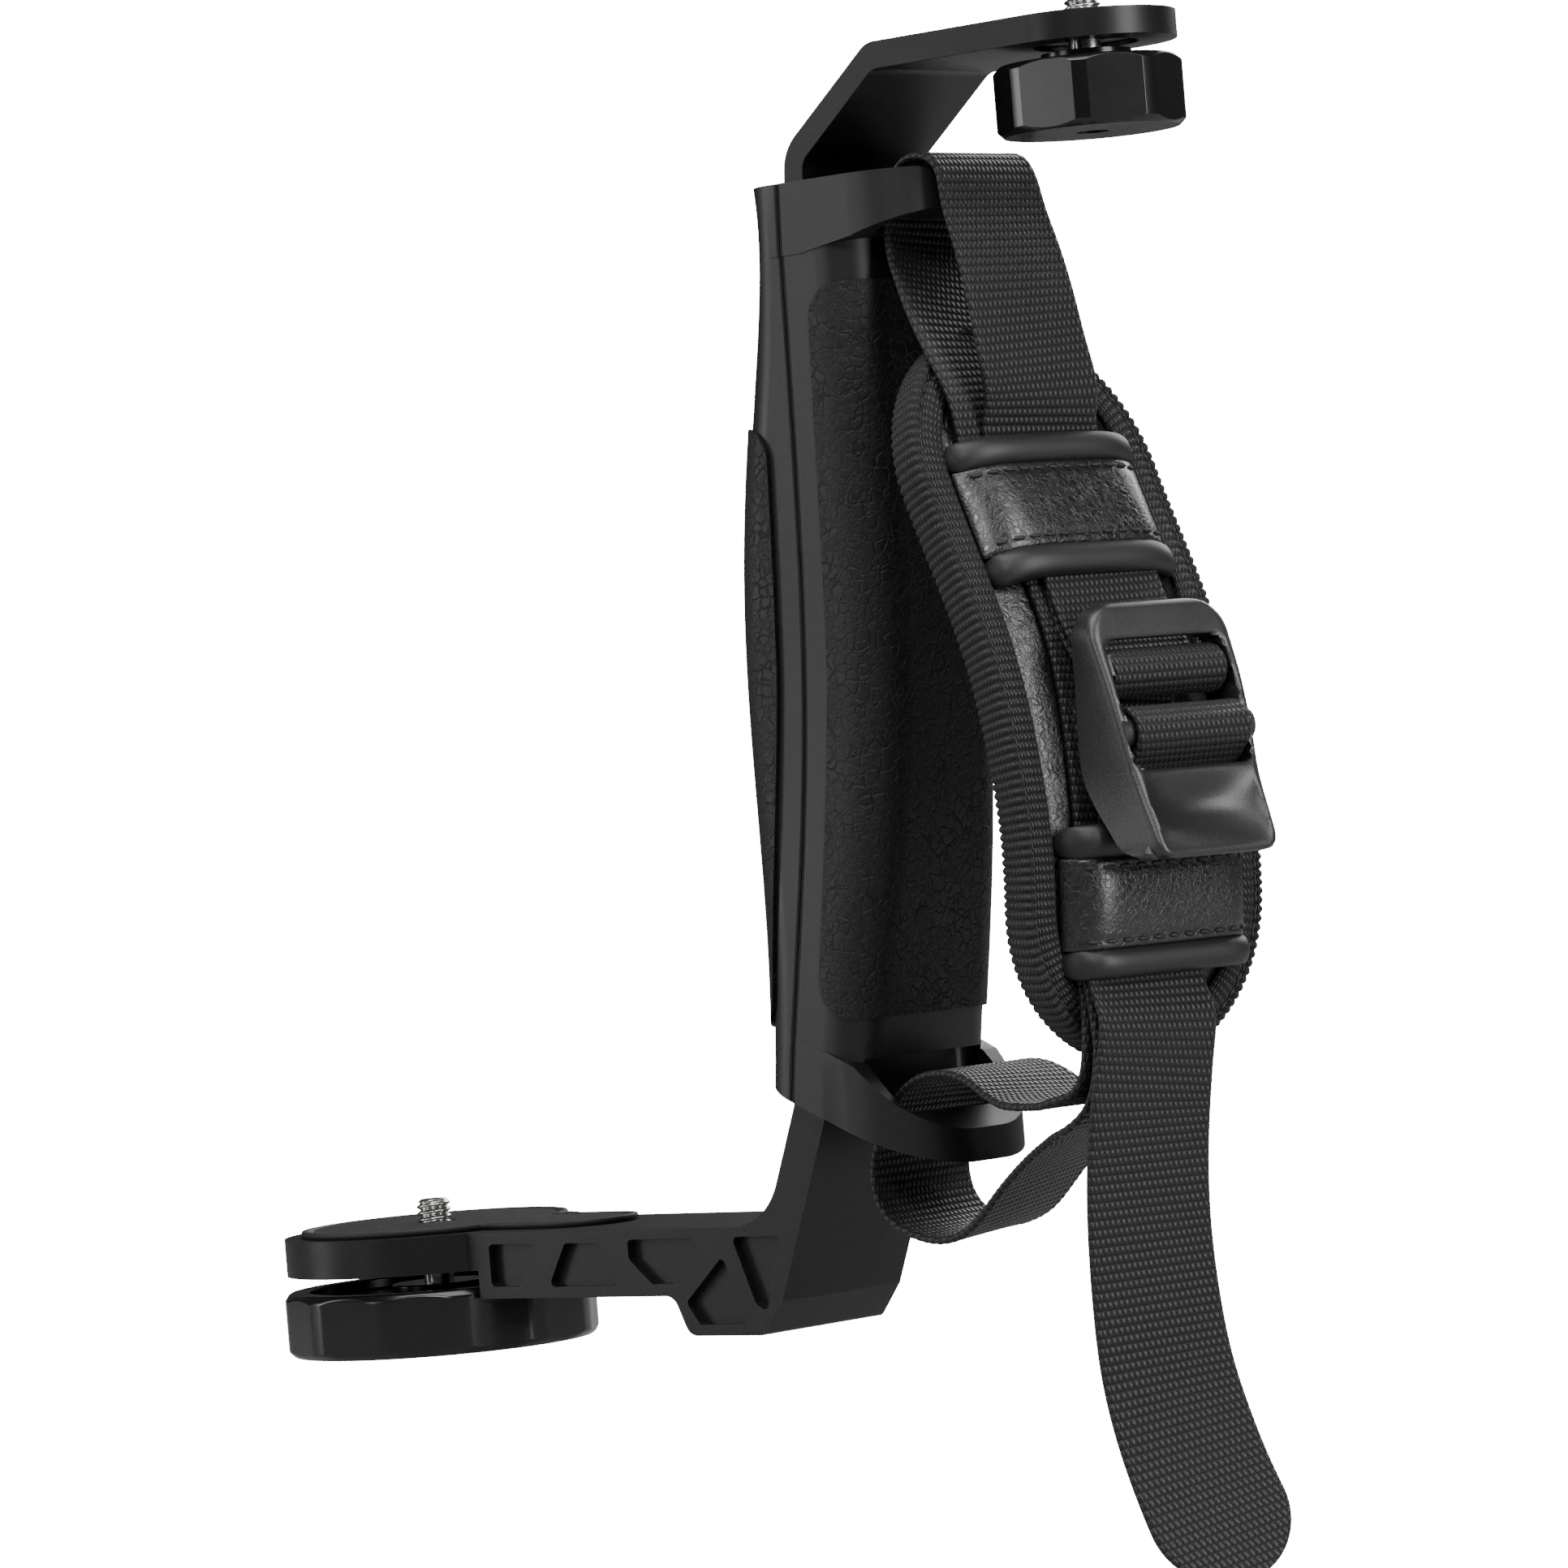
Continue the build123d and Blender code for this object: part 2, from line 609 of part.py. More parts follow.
def stadium(half_width):
    """Front view of the cushion's round-ended outline, grown or shrunk to a half width."""
    grow = half_width - cushion_half_width
    with BuildSketch(strap_face) as outline:
        with Locations((0, cushion_middle_z)):
            SlotOverall(cushion_length + 2 * grow, 2 * half_width, rotation=90)
    return outline.sketch


inside_binding = cushion_half_width - binding_cover

with BuildPart() as pad_cushion:
    extrude(layer(157, 17, -cushion_half_thickness, cushion_half_thickness), amount=40, both=True)
    extrude(stadium(inside_binding), amount=300, mode=Mode.INTERSECT)
finish(pad_cushion.part, "pad_cushion")

with BuildPart() as pad_binding:
    extrude(layer(157, 17, -binding_r, binding_r), amount=40, both=True)
    extrude(stadium(cushion_half_width + binding_r), amount=300, mode=Mode.INTERSECT)
    extrude(stadium(inside_binding + 0.05), amount=300, mode=Mode.SUBTRACT)
finish(pad_binding.part, "pad_binding")

# keepers: a leather bridge over the webbing with a rubber tube along each long edge
keepers = {
    # high and low of the leather, half width, inside half width, top of the passage
    "upper": (125.6, 110.2, 20.9, 17.6, layer2 + webbing + layer_gap),
    "lower": (60.2, 44.6, 20.4, 18.9, layer3 + webbing + layer_gap),
}
tube_height, tube_proud = 4.5, 0.9

for name, (high, low, half, inside, passage) in keepers.items():
    base = cushion_half_thickness + 0.05
    with BuildPart() as keeper_band:
        extrude(layer(high, low, base, passage + keeper_skin), amount=half, both=True)
        extrude(layer(high + 2, low - 2, base - 1, passage), amount=inside, both=True, mode=Mode.SUBTRACT)
    finish(keeper_band.part, f"{name}_keeper_band")
    with BuildPart() as keeper_tubes:
        for top, bottom in ((high + 0.1 + tube_height, high + 0.1), (low - 0.1, low - 0.1 - tube_height)):
            extrude(layer(top, bottom, layer1, passage + keeper_skin + tube_proud), amount=half, both=True)
        extrude(layer(high + 8, low - 8, base - 1, passage), amount=inside, both=True, mode=Mode.SUBTRACT)
    finish(keeper_tubes.part, f"{name}_keeper_tubes")


def strap_point(x, y, z):
    """Point given along, across and up the strap's own mid-plane."""
    return strap_plane.from_local_coords((x, z, -y))


def on_layer(z, off, y=0.0, turn=8.0):
    """Ribbon station on a layer that follows the cushion."""
    x, height = beside_cushion(z, off)
    return (*strap_point(x, y, height), turn, 0.0)


def ribbon(stations):
    """Planes square to a webbing run, one at each station (x, y, z, turn, dip)."""
    middles = [Vector(*station[:3]) for station in stations]
    planes = []
    for i, (x, y, z, turn, dip) in enumerate(stations):
        ahead = middles[min(i + 1, len(middles) - 1)] - middles[max(i - 1, 0)]
        turn, dip = radians(turn), radians(dip)
        across = Vector(sin(turn) * cos(dip), cos(turn) * cos(dip), -sin(dip))
        across = across - ahead * (across.dot(ahead) / ahead.dot(ahead))
        planes.append(Plane(origin=middles[i], x_dir=across, z_dir=ahead))
    return planes


# webbing over the top ring: out of the upper keeper, over the rim, down the slot and back
with BuildPart() as webbing_top_loop:
    for place in ribbon([
        on_layer(131.8, middle2, 0.5), (164.1, 0.75, 139.5, 7, 0), (163.2, 0.4, 148.0, 6, 0),
        (162.1, 0.1, 155.0, 5, 0), (160.7, 0, 162.0, 4, 0), (159.0, 0, 168.0, 3, 0), (157.5, 0, 173.0, 2, 0),
        (156.8, 0, 176.5, 1, 0), (156.0, 0, 179.4, 0, 0), (154.2, 0, 181.6, 0, 0), (151.4, 0, 182.4, 0, 0),
        (148.4, 0, 181.9, 0, 0), (146.1, 0, 179.8, 0, 0), (144.8, 0, 176.0, 0, 0), (143.6, 0, 171.5, 0, 0),
        (143.4, -0.2, 167.0, 0, 0), (145.8, -1.0, 161.0, 1, 0), (152.0, -2.4, 155.2, 3, 0),
        (156.7, -3.4, 149.5, 5, 0), (159.3, -3.8, 143.8, 7, 0), (161.0, -3.9, 137.6, 8, 0),
        on_layer(131.8, middle1, -4.4),
    ]):
        with BuildSketch(place):
            Rectangle(webbing_width, webbing)
    loft(ruled=True)
finish(webbing_top_loop.part, "webbing_top_loop")

# webbing along the pad, sewn to it, under both keepers: height and sideways place
pad_run_line = (
    (131.0, -4.4), (126, -4.2), (120, -3.2), (112, -1.9), (104, -1.2), (96, -1.2), (88, -1.7), (80, -2.4),
    (72, -3.0), (64, -3.6), (56, -4.1), (48, -4.5), (44, -4.6), (39.6, -4.6),
)
with BuildPart() as webbing_pad_run:
    for place in ribbon([on_layer(z, middle1, y) for z, y in pad_run_line]):
        with BuildSketch(place):
            Rectangle(webbing_width, webbing)
    loft(ruled=True)
finish(webbing_pad_run.part, "webbing_pad_run")

# webbing from the upper keeper to the buckle, looped round the buckle's first bar and sewn back
anchor_line = ((131.0, 0.5), (124, 0.6), (116, 0.8), (109, 1.0), (104, 1.1))
doubled = 1.9 * webbing
with BuildPart() as webbing_buckle_anchor:
    for place in ribbon([on_layer(z, middle2, y) for z, y in anchor_line]):
        with BuildSketch(place):
            Rectangle(webbing_width, webbing)
    loft(ruled=True)
    for place in ribbon([
        on_layer(104, layer2 + doubled / 2 + loop_gap, 1.1),
        (*strap_point(178.2, 1.3, 99.4), 8, 0), (*strap_point(180.2, 1.4, 95.4), 8, 0),
        (*strap_point(bar1_x - 4.2, buckle_y, bar1_z + 1.4), 8, 0),
    ]):
        with BuildSketch(place):
            Rectangle(webbing_width, doubled)
    loft(ruled=True)
    with BuildSketch(strap_plane.offset(-buckle_y)):
        with Locations((bar1_x, bar1_z)):
            Circle(bar1_r + loop_gap + webbing)
    extrude(amount=webbing_width / 2, both=True)
    with BuildSketch(strap_plane.offset(-buckle_y)):
        with Locations((bar1_x, bar1_z)):
            Circle(bar1_r + loop_gap)
    extrude(amount=20, both=True, mode=Mode.SUBTRACT)
finish(webbing_buckle_anchor.part, "webbing_buckle_anchor")

# adjusting end: up through the lower keeper to the buckle, and back down
adjuster_line = ((39.6, -4.7), (45, -4.6), (50, -3.6), (56, -1.9), (61, -0.3), (66, 1.1))
with BuildPart() as webbing_adjuster:
    for place in ribbon([
        *(on_layer(z, middle2, y) for z, y in adjuster_line),
        (*strap_point(184.4, buckle_y, 70.0), 8, 0), (*strap_point(185.6, buckle_y, 73.0), 8, 0),
    ]):
        with BuildSketch(place):
            Rectangle(webbing_width, webbing)
    loft(ruled=True)
    for place in ribbon([
        *(on_layer(z, middle3, y) for z, y in adjuster_line),
        (*strap_point(187.4, buckle_y, 70.2), 8, 0), (*strap_point(189.5, buckle_y, 73.0), 8, 0),
    ]):
        with BuildSketch(place):
            Rectangle(webbing_width, webbing)
    loft(ruled=True)
finish(webbing_adjuster.part, "webbing_adjuster")

# the turn of that webbing over the buckle's second bar, which moves with the buckle
turn_r = bar2_r + 0.2 + webbing / 2
with BuildPart() as webbing_buckle_turn:
    for place in ribbon([
        (*strap_point(186.1, buckle_y, 74.2), 8, 0), (*strap_point(186.6, buckle_y, 76.6), 8, 0),
        *((*strap_point(bar2_x + turn_r * cos(radians(a)), buckle_y, bar2_z + turn_r * sin(radians(a))), 8, 0)
          for a in range(184, -51, -13)),
        (*strap_point(190.6, buckle_y, 74.4), 8, 0),
    ]):
        with BuildSketch(place):
            Rectangle(webbing_width, webbing)
    loft(ruled=True)
finish(webbing_buckle_turn.part, "webbing_buckle_turn")

# from the pad's foot to the bottom ring, down its slot, round and back up to the lower keeper
with BuildPart() as webbing_lower_loop:
    for place in ribbon([
        on_layer(39.0, middle1, -4.6), (*strap_point(181.6, -4.8, 33.0), 8, 0),
        (*strap_point(181.4, -5.2, 27.0), 8, 0), (*strap_point(180.2, -5.5, 22.8), 8, 0),
        (*strap_point(177.2, -5.6, 20.2), 7, 0), (*strap_point(173.0, -5.6, 19.2), 6, 0),
        (168.0, -5.6, 18.4, 6, 0), (163.0, -4.6, 18.2, 4, 0), (157.0, -2.8, 18.6, 3, 0),
        (152.0, -1.6, 20.0, 2, 0), (147.5, -0.8, 22.2, 1, 0), (143.0, -0.3, 23.8, 0, 0),
        (138.5, 0, 24.2, 0, 0), (134.0, 0, 23.4, 0, 0), (130.4, 0, 21.4, 0, 0), (127.4, 0, 18.2, 0, 0),
        (125.0, 0, 14.4, 0, 0), (123.0, 0, 10.4, 0, 0), (122.2, 0, 5.6, 0, 0), (123.4, 0, 1.2, 0, 0),
        (126.3, 0, -1.8, 0, 0), (130.6, 0, -3.7, 0, 0), (135.6, 0, -4.1, 0, -3), (141.0, 0, -2.7, 0, -6),
        (146.2, -0.3, 0.8, 0, -8), (151.4, -0.8, 5.2, 1, -9), (157.0, -1.4, 9.2, 2, -9),
        (162.9, -2.4, 12.2, 3, -8), (169.0, -3.8, 14.0, 5, -6), (*strap_point(175.6, -4.4, 15.4), 7, -3),
        (*strap_point(180.4, -4.7, 18.2), 8, 0), (*strap_point(183.0, -4.7, 23.4), 8, 0),
        (*strap_point(183.9, -4.7, 30.0), 8, 0), on_layer(39.0, middle2, -4.7),
    ]):
        with BuildSketch(place):
            Rectangle(webbing_width, webbing)
    loft(ruled=True)
finish(webbing_lower_loop.part, "webbing_lower_loop")

# hanging tail with a rounded end
with BuildPart() as webbing_tail:
    tail_places = ribbon([
        on_layer(38.8, middle3, -4.8), (*strap_point(186.3, -5.0, 33.0), 9, 0), (184.9, -8.4, 26.0, 10, 0),
        (183.5, -9.0, 18.0, 11.5, 0), (181.8, -9.0, 8.0, 12.5, 0), (180.9, -9.0, -4.0, 13.5, 0),
        (181.1, -9.0, -16.0, 16, 0), (182.4, -9.0, -28.0, 20, 0), (185.0, -9.0, -38.0, 24, 0),
        (188.4, -9.0, -47.0, 27, 0), (190.8, -9.0, -52.2, 29, 0),
    ])
    for place in tail_places:
        with BuildSketch(place):
            Rectangle(webbing_width, webbing)
    loft(ruled=True)
    tail_end = tail_places[-1]
    with BuildSketch(Plane(origin=tail_end.origin, x_dir=tail_end.x_dir, z_dir=tail_end.y_dir)):
        Circle(webbing_width / 2)
        with Locations((0, webbing_width / 2)):
            Rectangle(webbing_width, webbing_width, mode=Mode.SUBTRACT)
    extrude(amount=webbing / 2, both=True)
finish(webbing_tail.part, "webbing_tail")

# ---- buckle: a frame with two cross bars and a curled thumb tab -------------------------
with BuildPart() as buckle:
    with BuildSketch(strap_plane.offset(-buckle_y)) as cheek:
        Polygon(
            (183.6, 101.0), (183.4, 88.0), (183.9, 74.0), (186.8, 68.5), (190.8, 63.5), (193.4, 59.6),
            (200.4, 58.8), (200.8, 60.5), (198.7, 67.5), (195.5, 74.0), (193.4, 81.0), (191.3, 88.0),
            (188.7, 95.0), (187.2, 101.4), (185.2, 102.6),
            align=None,
        )
    extrude(amount=buckle_half_width, both=True)
    # seen from the front it has round shoulders and is drawn in towards the tab's lip
    with BuildSketch(strap_face) as outline:
        Polygon(
            (buckle_y - buckle_half_width, 103), (buckle_y + buckle_half_width, 103),
            (buckle_y + buckle_half_width, 75), (buckle_y + 14.4, 58), (buckle_y - 15.4, 58),
            (buckle_y - buckle_half_width, 75),
            align=None,
        )
        fillet(outline.vertices().group_by(Axis.Z)[-1], buckle_shoulder)
    extrude(amount=300, mode=Mode.INTERSECT)
    # window
    with BuildSketch(strap_plane.offset(-buckle_y)):
        Polygon((170, 96.2), (210, 96.2), (210, 73.6), (170, 73.6), align=None)
    extrude(amount=window_half_width, both=True, mode=Mode.SUBTRACT)
    # hollow under the thumb tab, where the webbing passes
    with BuildSketch(strap_plane.offset(-buckle_y)):
        Polygon((170, 75), (193.0, 75), (195.6, 67.5), (197.6, 61.2), (197.0, 50), (170, 50), align=None)
    extrude(amount=window_half_width, both=True, mode=Mode.SUBTRACT)
    with BuildSketch(strap_plane.offset(-buckle_y)):
        with Locations((bar1_x, bar1_z)):
            Circle(bar1_r)
        with Locations((bar2_x, bar2_z)):
            Circle(bar2_r)
    extrude(amount=buckle_half_width - 0.5, both=True)
finish(buckle.part, "buckle")
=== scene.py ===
# Sling grip for a camera gimbal: cranked brackets, a two-shell handle, a padded hand strap
# with a ladder buckle, and a captive thumb screw at each end.
from math import atan2, ceil, cos, pi, radians, sin, sqrt, tan

import bmesh
import bpy
import numpy as np
from mathutils import Matrix, Vector


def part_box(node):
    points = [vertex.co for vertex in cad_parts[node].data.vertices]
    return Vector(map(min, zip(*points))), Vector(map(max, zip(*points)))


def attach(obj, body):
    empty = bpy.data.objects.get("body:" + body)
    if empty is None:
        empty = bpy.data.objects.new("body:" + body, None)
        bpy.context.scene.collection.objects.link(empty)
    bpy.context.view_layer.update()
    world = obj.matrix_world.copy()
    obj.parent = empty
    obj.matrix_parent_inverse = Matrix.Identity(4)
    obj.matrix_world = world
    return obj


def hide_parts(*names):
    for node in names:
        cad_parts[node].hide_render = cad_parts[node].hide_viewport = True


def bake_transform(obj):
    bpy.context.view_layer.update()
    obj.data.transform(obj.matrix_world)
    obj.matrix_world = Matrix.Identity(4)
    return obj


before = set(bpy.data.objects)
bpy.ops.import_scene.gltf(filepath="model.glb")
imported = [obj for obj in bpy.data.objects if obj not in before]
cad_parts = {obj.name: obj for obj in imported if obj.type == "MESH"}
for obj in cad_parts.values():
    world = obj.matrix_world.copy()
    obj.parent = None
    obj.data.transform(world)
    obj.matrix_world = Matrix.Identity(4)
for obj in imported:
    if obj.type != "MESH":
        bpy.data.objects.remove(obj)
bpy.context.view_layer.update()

# ---- view, light and floor ------------------------------------------------------------
# A white studio: the floor lies just below the hanging end of the strap, big soft lights
# stand to both sides and above, and the camera looks level at the grip from its strap side.
mm = 0.001
camera_turn, camera_rise, camera_roll = radians(42.27), radians(0.17), radians(4.74)
camera_distance, aim_right, aim_up, aim_drop = 1.33157, 0.06550, 0.08311, 0.0012
lens_length, sensor_width = 162.74, 36.0
white, paper_glow = (1, 1, 1, 1), 16.0

towards_camera = Vector((
    sin(camera_turn) * cos(camera_rise), -cos(camera_turn) * cos(camera_rise), sin(camera_rise)))
level_right = Vector((cos(camera_turn), sin(camera_turn), 0))
level_up = towards_camera.cross(level_right)
view_right = cos(camera_roll) * level_right - sin(camera_roll) * level_up
view_up = sin(camera_roll) * level_right + cos(camera_roll) * level_up


def new_object(name, data):
    """An object of the scene that shows the given data."""
    made = bpy.data.objects.new(name, data)
    bpy.context.scene.collection.objects.link(made)
    return made


camera = new_object("camera", bpy.data.cameras.new("camera"))
camera.data.sensor_width, camera.data.lens = sensor_width, lens_length
camera.data.clip_start, camera.data.clip_end = 0.05, 60.0
camera_place = camera_distance * towards_camera + aim_right * view_right + aim_up * view_up
camera_place.z -= aim_drop
turned = Matrix((view_right, view_up, towards_camera)).transposed().to_4x4()
camera.matrix_world = Matrix.Translation(camera_place) @ turned
bpy.context.scene.camera = camera


def soft_light(name, place, aim, size, power):
    lamp = bpy.data.lights.new(name, "AREA")
    lamp.shape, lamp.size, lamp.size_y, lamp.energy = "RECTANGLE", size[0], size[1], power
    holder = new_object(name, lamp)
    holder.location = place
    holder.rotation_euler = (Vector(aim) - Vector(place)).to_track_quat("-Z", "Y").to_euler()


grip_middle = (0.13, 0, 0.08)
soft_light("light_over", (0.25, -0.20, 1.20), grip_middle, (0.9, 0.9), 14)
soft_light("light_left", (-1.00, -0.80, 0.30), grip_middle, (0.35, 1.3), 7.5)
soft_light("light_right", (1.25, 0.10, 0.35), grip_middle, (0.45, 1.3), 17)
soft_light("light_front", (0.95, -1.30, 1.10), grip_middle, (0.4, 0.4), 11)
soft_light("light_near", (-0.30, -1.25, 0.45), grip_middle, (0.35, 0.8), 3)
soft_light("light_back", (-0.2, 1.2, 0.7), grip_middle, (0.9, 0.6), 10)


def node_adder(tree):
    """A function that adds a wired node; an operation's name stands for a math node."""
    def add(kind, inputs=None, **settings):
        if kind.isupper():
            kind, settings = "ShaderNodeMath", {"operation": kind}
        node = tree.nodes.new(kind)
        for key, value in settings.items():
            setattr(node, key, value)
        if isinstance(inputs, tuple):
            inputs = dict(enumerate(inputs))
        for key, value in (inputs or {}).items():
            if isinstance(value, bpy.types.Node):
                value = value.outputs[0]
            if isinstance(value, bpy.types.NodeSocket):
                tree.links.new(value, node.inputs[key])
            else:
                node.inputs[key].default_value = value
        return node
    return add


studio = bpy.data.worlds.new("studio")
bpy.context.scene.world = studio
studio.use_nodes = True
studio.node_tree.nodes.clear()
add = node_adder(studio.node_tree)
seen = add("ShaderNodeLightPath")
lit = add("ShaderNodeBackground", {"Color": white, "Strength": 0.06})
plain = add("ShaderNodeBackground", {"Color": white, "Strength": paper_glow})
both = add("ShaderNodeMixShader", {0: seen.outputs["Is Camera Ray"], 1: lit, 2: plain})
add("ShaderNodeOutputWorld", {"Surface": both})


def new_material(name):
    """A material with an empty tree, and a function that adds a wired node to it."""
    material = bpy.data.materials.new(name)
    material.use_nodes = True
    material.node_tree.nodes.clear()
    return material, node_adder(material.node_tree)


def new_mesh_object(name, points, faces, uvs=None):
    """A smooth-shaded mesh object from points in millimetres; uvs is one pair a point."""
    mesh = bpy.data.meshes.new(name)
    mesh.from_pydata([Vector(p) * mm for p in points], [], faces)
    if uvs is not None:
        layer = mesh.uv_layers.new(name="weave")
        corner = np.zeros(len(mesh.loops), np.int32)
        mesh.loops.foreach_get("vertex_index", corner)
        layer.data.foreach_set("uv", np.asarray(uvs, np.float32)[corner].ravel())
    mesh.shade_smooth()
    return new_object(name, mesh)


floor_z = 1000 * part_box("webbing_tail")[0].z - 4
floor_half = 9000
floor = new_mesh_object("floor", [(x * floor_half, y * floor_half, floor_z) for x, y in (
    (-1, -1), (1, -1), (1, 1), (-1, 1))], [(0, 1, 2, 3)])
paper, add = new_material("paper")
surface = add("ShaderNodeBsdfPrincipled", {"Base Color": (0.35, 0.35, 0.35, 1), "Roughness": 0.9})
glow = add("ShaderNodeEmission", {"Color": white, "Strength": paper_glow})
looked_at = add("ShaderNodeLightPath")
either = add("ShaderNodeMixShader", {0: looked_at.outputs["Is Camera Ray"], 1: surface,
                                     2: glow})
add("ShaderNodeOutputMaterial", {"Surface": either})
floor.data.materials.append(paper)

# ---- brackets -------------------------------------------------------------------------
# Two cranked bars of black anodised aluminium, bead blasted before anodising, with their
# edges lightly eased.  The lower one carries the round disc, the upper one the small plate.


def new_group(name, inputs, outputs):
    """A shader node group; inputs are name: (kind, value), outputs name: kind."""
    tree = bpy.data.node_groups.new(name, "ShaderNodeTree")
    for key, (kind, value) in inputs.items():
        socket = tree.interface.new_socket(key, in_out="INPUT", socket_type=kind)
        if value is not None:
            socket.default_value = value
    for key, kind in outputs.items():
        tree.interface.new_socket(key, in_out="OUTPUT", socket_type=kind)
    add_inside = node_adder(tree)
    entry = add_inside("NodeGroupInput")
    return tree, add_inside, entry


# handling: slow changes of shade and gloss where hands and cloth have been
handling, add, entry = new_group(
    "handling",
    {"Color": ("NodeSocketColor", (0.5, 0.5, 0.5, 1)), "Roughness": ("NodeSocketFloat", 0.5),
     "Patch size": ("NodeSocketFloat", 0.02), "Amount": ("NodeSocketFloat", 0.2)},
    {"Color": "NodeSocketColor", "Roughness": "NodeSocketFloat"})
where = add("ShaderNodeTexCoord")
scale = add("DIVIDE", (1.0, entry.outputs["Patch size"]))
patch = add("ShaderNodeTexNoise", {"Vector": where.outputs["Object"], "Scale": scale,
                                   "Detail": 4.0, "Roughness": 0.6})
swing = add("SUBTRACT", (patch, 0.5))
swing2 = add("MULTIPLY", (swing, entry.outputs["Amount"]))
rough = add("ADD", (entry.outputs["Roughness"], swing2))
gain = add("MULTIPLY_ADD", (swing2, 2.5, 1.0))
shade = add("ShaderNodeVectorMath", {0: entry.outputs["Color"], 3: gain}, operation="SCALE")
add("NodeGroupOutput", {"Color": shade, "Roughness": rough})

# grain: fine speckle of blasted metal or sparked moulding tools
grain, add, entry = new_group(
    "grain", {"Grain size": ("NodeSocketFloat", 0.0003)}, {"Height": "NodeSocketFloat"})
where = add("ShaderNodeTexCoord")
scale = add("DIVIDE", (1.0, entry.outputs["Grain size"]))
coarse = add("ShaderNodeTexNoise", {"Vector": where.outputs["Object"], "Scale": scale,
                                    "Detail": 2.0, "Roughness": 0.7})
add("NodeGroupOutput", {"Height": coarse})


def group_node(add, tree, inputs):
    return add("ShaderNodeGroup", inputs, node_tree=tree)


def hard_finish(name, colour, roughness, metallic=0.0, grain_size=0.3, grain_depth=0.02,
                patch=20, amount=0.12, specular=0.5):
    """Metal or plastic with handling marks and fine grain; sizes in millimetres."""
    material, add = new_material(name)
    worn = group_node(add, handling, {
        "Color": (*colour, 1), "Roughness": roughness, "Patch size": patch * mm, "Amount": amount})
    speckle = group_node(add, grain, {"Grain size": grain_size * mm})
    bump = add("ShaderNodeBump", {"Height": speckle.outputs["Height"], "Strength": 1.0,
                                  "Distance": grain_depth * mm})
    surface = add("ShaderNodeBsdfPrincipled", {
        "Base Color": worn.outputs["Color"], "Roughness": worn.outputs["Roughness"],
        "Normal": bump, "Metallic": metallic, "Specular IOR Level": specular})
    add("ShaderNodeOutputMaterial", {"Surface": surface})
    return material


def eased_copy(node, ease, material, body, sharp=30.0):
    """A finished copy of a CAD node with its edges rounded over by ease millimetres."""
    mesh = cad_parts[node].data.copy()
    mesh.materials.clear()
    whole = bmesh.new()
    whole.from_mesh(mesh)
    bmesh.ops.remove_doubles(whole, verts=whole.verts, dist=2e-6)
    bmesh.ops.dissolve_limit(whole, angle_limit=radians(0.5), verts=whole.verts, edges=whole.edges)
    whole.to_mesh(mesh)
    whole.free()
    piece = new_object(node + "_finished", mesh)
    mesh.materials.append(material)
    mesh.shade_smooth()
    rounding = piece.modifiers.new("eased edges", "BEVEL")
    rounding.width, rounding.segments = ease * mm, 3
    rounding.limit_method, rounding.angle_limit = "ANGLE", radians(sharp)
    rounding.use_clamp_overlap = True
    flatten = piece.modifiers.new("even shading", "WEIGHTED_NORMAL")
    flatten.weight = 80
    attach(piece, body)
    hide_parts(node)
    return piece


bracket_black = hard_finish("bracket_black", (0.010, 0.010, 0.011), 0.36, metallic=0.4,
                            grain_size=0.22, grain_depth=0.012, patch=16, amount=0.10)
eased_copy("lower_bracket", 0.45, bracket_black, "frame")
eased_copy("upper_bracket", 0.45, bracket_black, "frame")

# ---- rubber pad -----------------------------------------------------------------------
# Thin moulded rubber glued on the disc with a tongue along the arm.  Slanting ribs stand on
# it inside a plain rim, so that the plate above doesn't turn.
rubber_low, rubber_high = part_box("lower_rubber_pad")
pad_bottom, pad_top = 1000 * rubber_low.z, 1000 * rubber_high.z
pad_r, tongue_half, tongue_tip, screw_gap = 25.1, 10.0, 49.0, 3.4
rib_pitch, rib_width, rib_height, rim_width = 2.2, 1.0, 0.45, 1.3


def pad_reach(angle, inset):
    """How far the pad's outline stands from the screw's axis in one direction."""
    radius, half, tip = pad_r - inset, tongue_half - inset, tongue_tip - inset
    if cos(angle) <= 0:
        return radius
    along_edge = half / max(abs(sin(angle)), 1e-6)
    centre = tip - half
    inside = half * half - (centre * sin(angle)) ** 2
    if inside > 0:
        round_end = centre * cos(angle) + sqrt(inside)
        if along_edge * cos(angle) > centre:
            along_edge = round_end
    elif along_edge * cos(angle) > centre:
        along_edge = radius
    return max(radius, along_edge)


def tube_faces(rings, sides, first=0, closed=False):
    """Faces between rings of points that follow each other from the first point."""
    made = []
    for k in range(rings if closed else rings - 1):
        a, b = first + k * sides, first + (k + 1) % rings * sides
        for i in range(sides):
            j = (i + 1) % sides
            made.append((a + i, a + j, b + j, b + i))
    return made


rings = [(0.0, pad_bottom), (0.0, pad_top - 0.15), (0.15, pad_top), (rim_width, pad_top),
         (rim_width + 0.2, pad_top - rib_height)]
turns = 240
points = []
for inset, z in rings:
    for i in range(turns):
        a = 2 * pi * i / turns
        reach = pad_reach(a, inset)
        points.append((reach * cos(a), reach * sin(a), z))
for z in (pad_top - rib_height, pad_bottom):
    for i in range(turns):
        a = 2 * pi * i / turns
        points.append((screw_gap * cos(a), screw_gap * sin(a), z))
faces = tube_faces(len(rings) + 2, turns, closed=True)
rubber_pad = new_mesh_object("rubber_pad", points, faces)

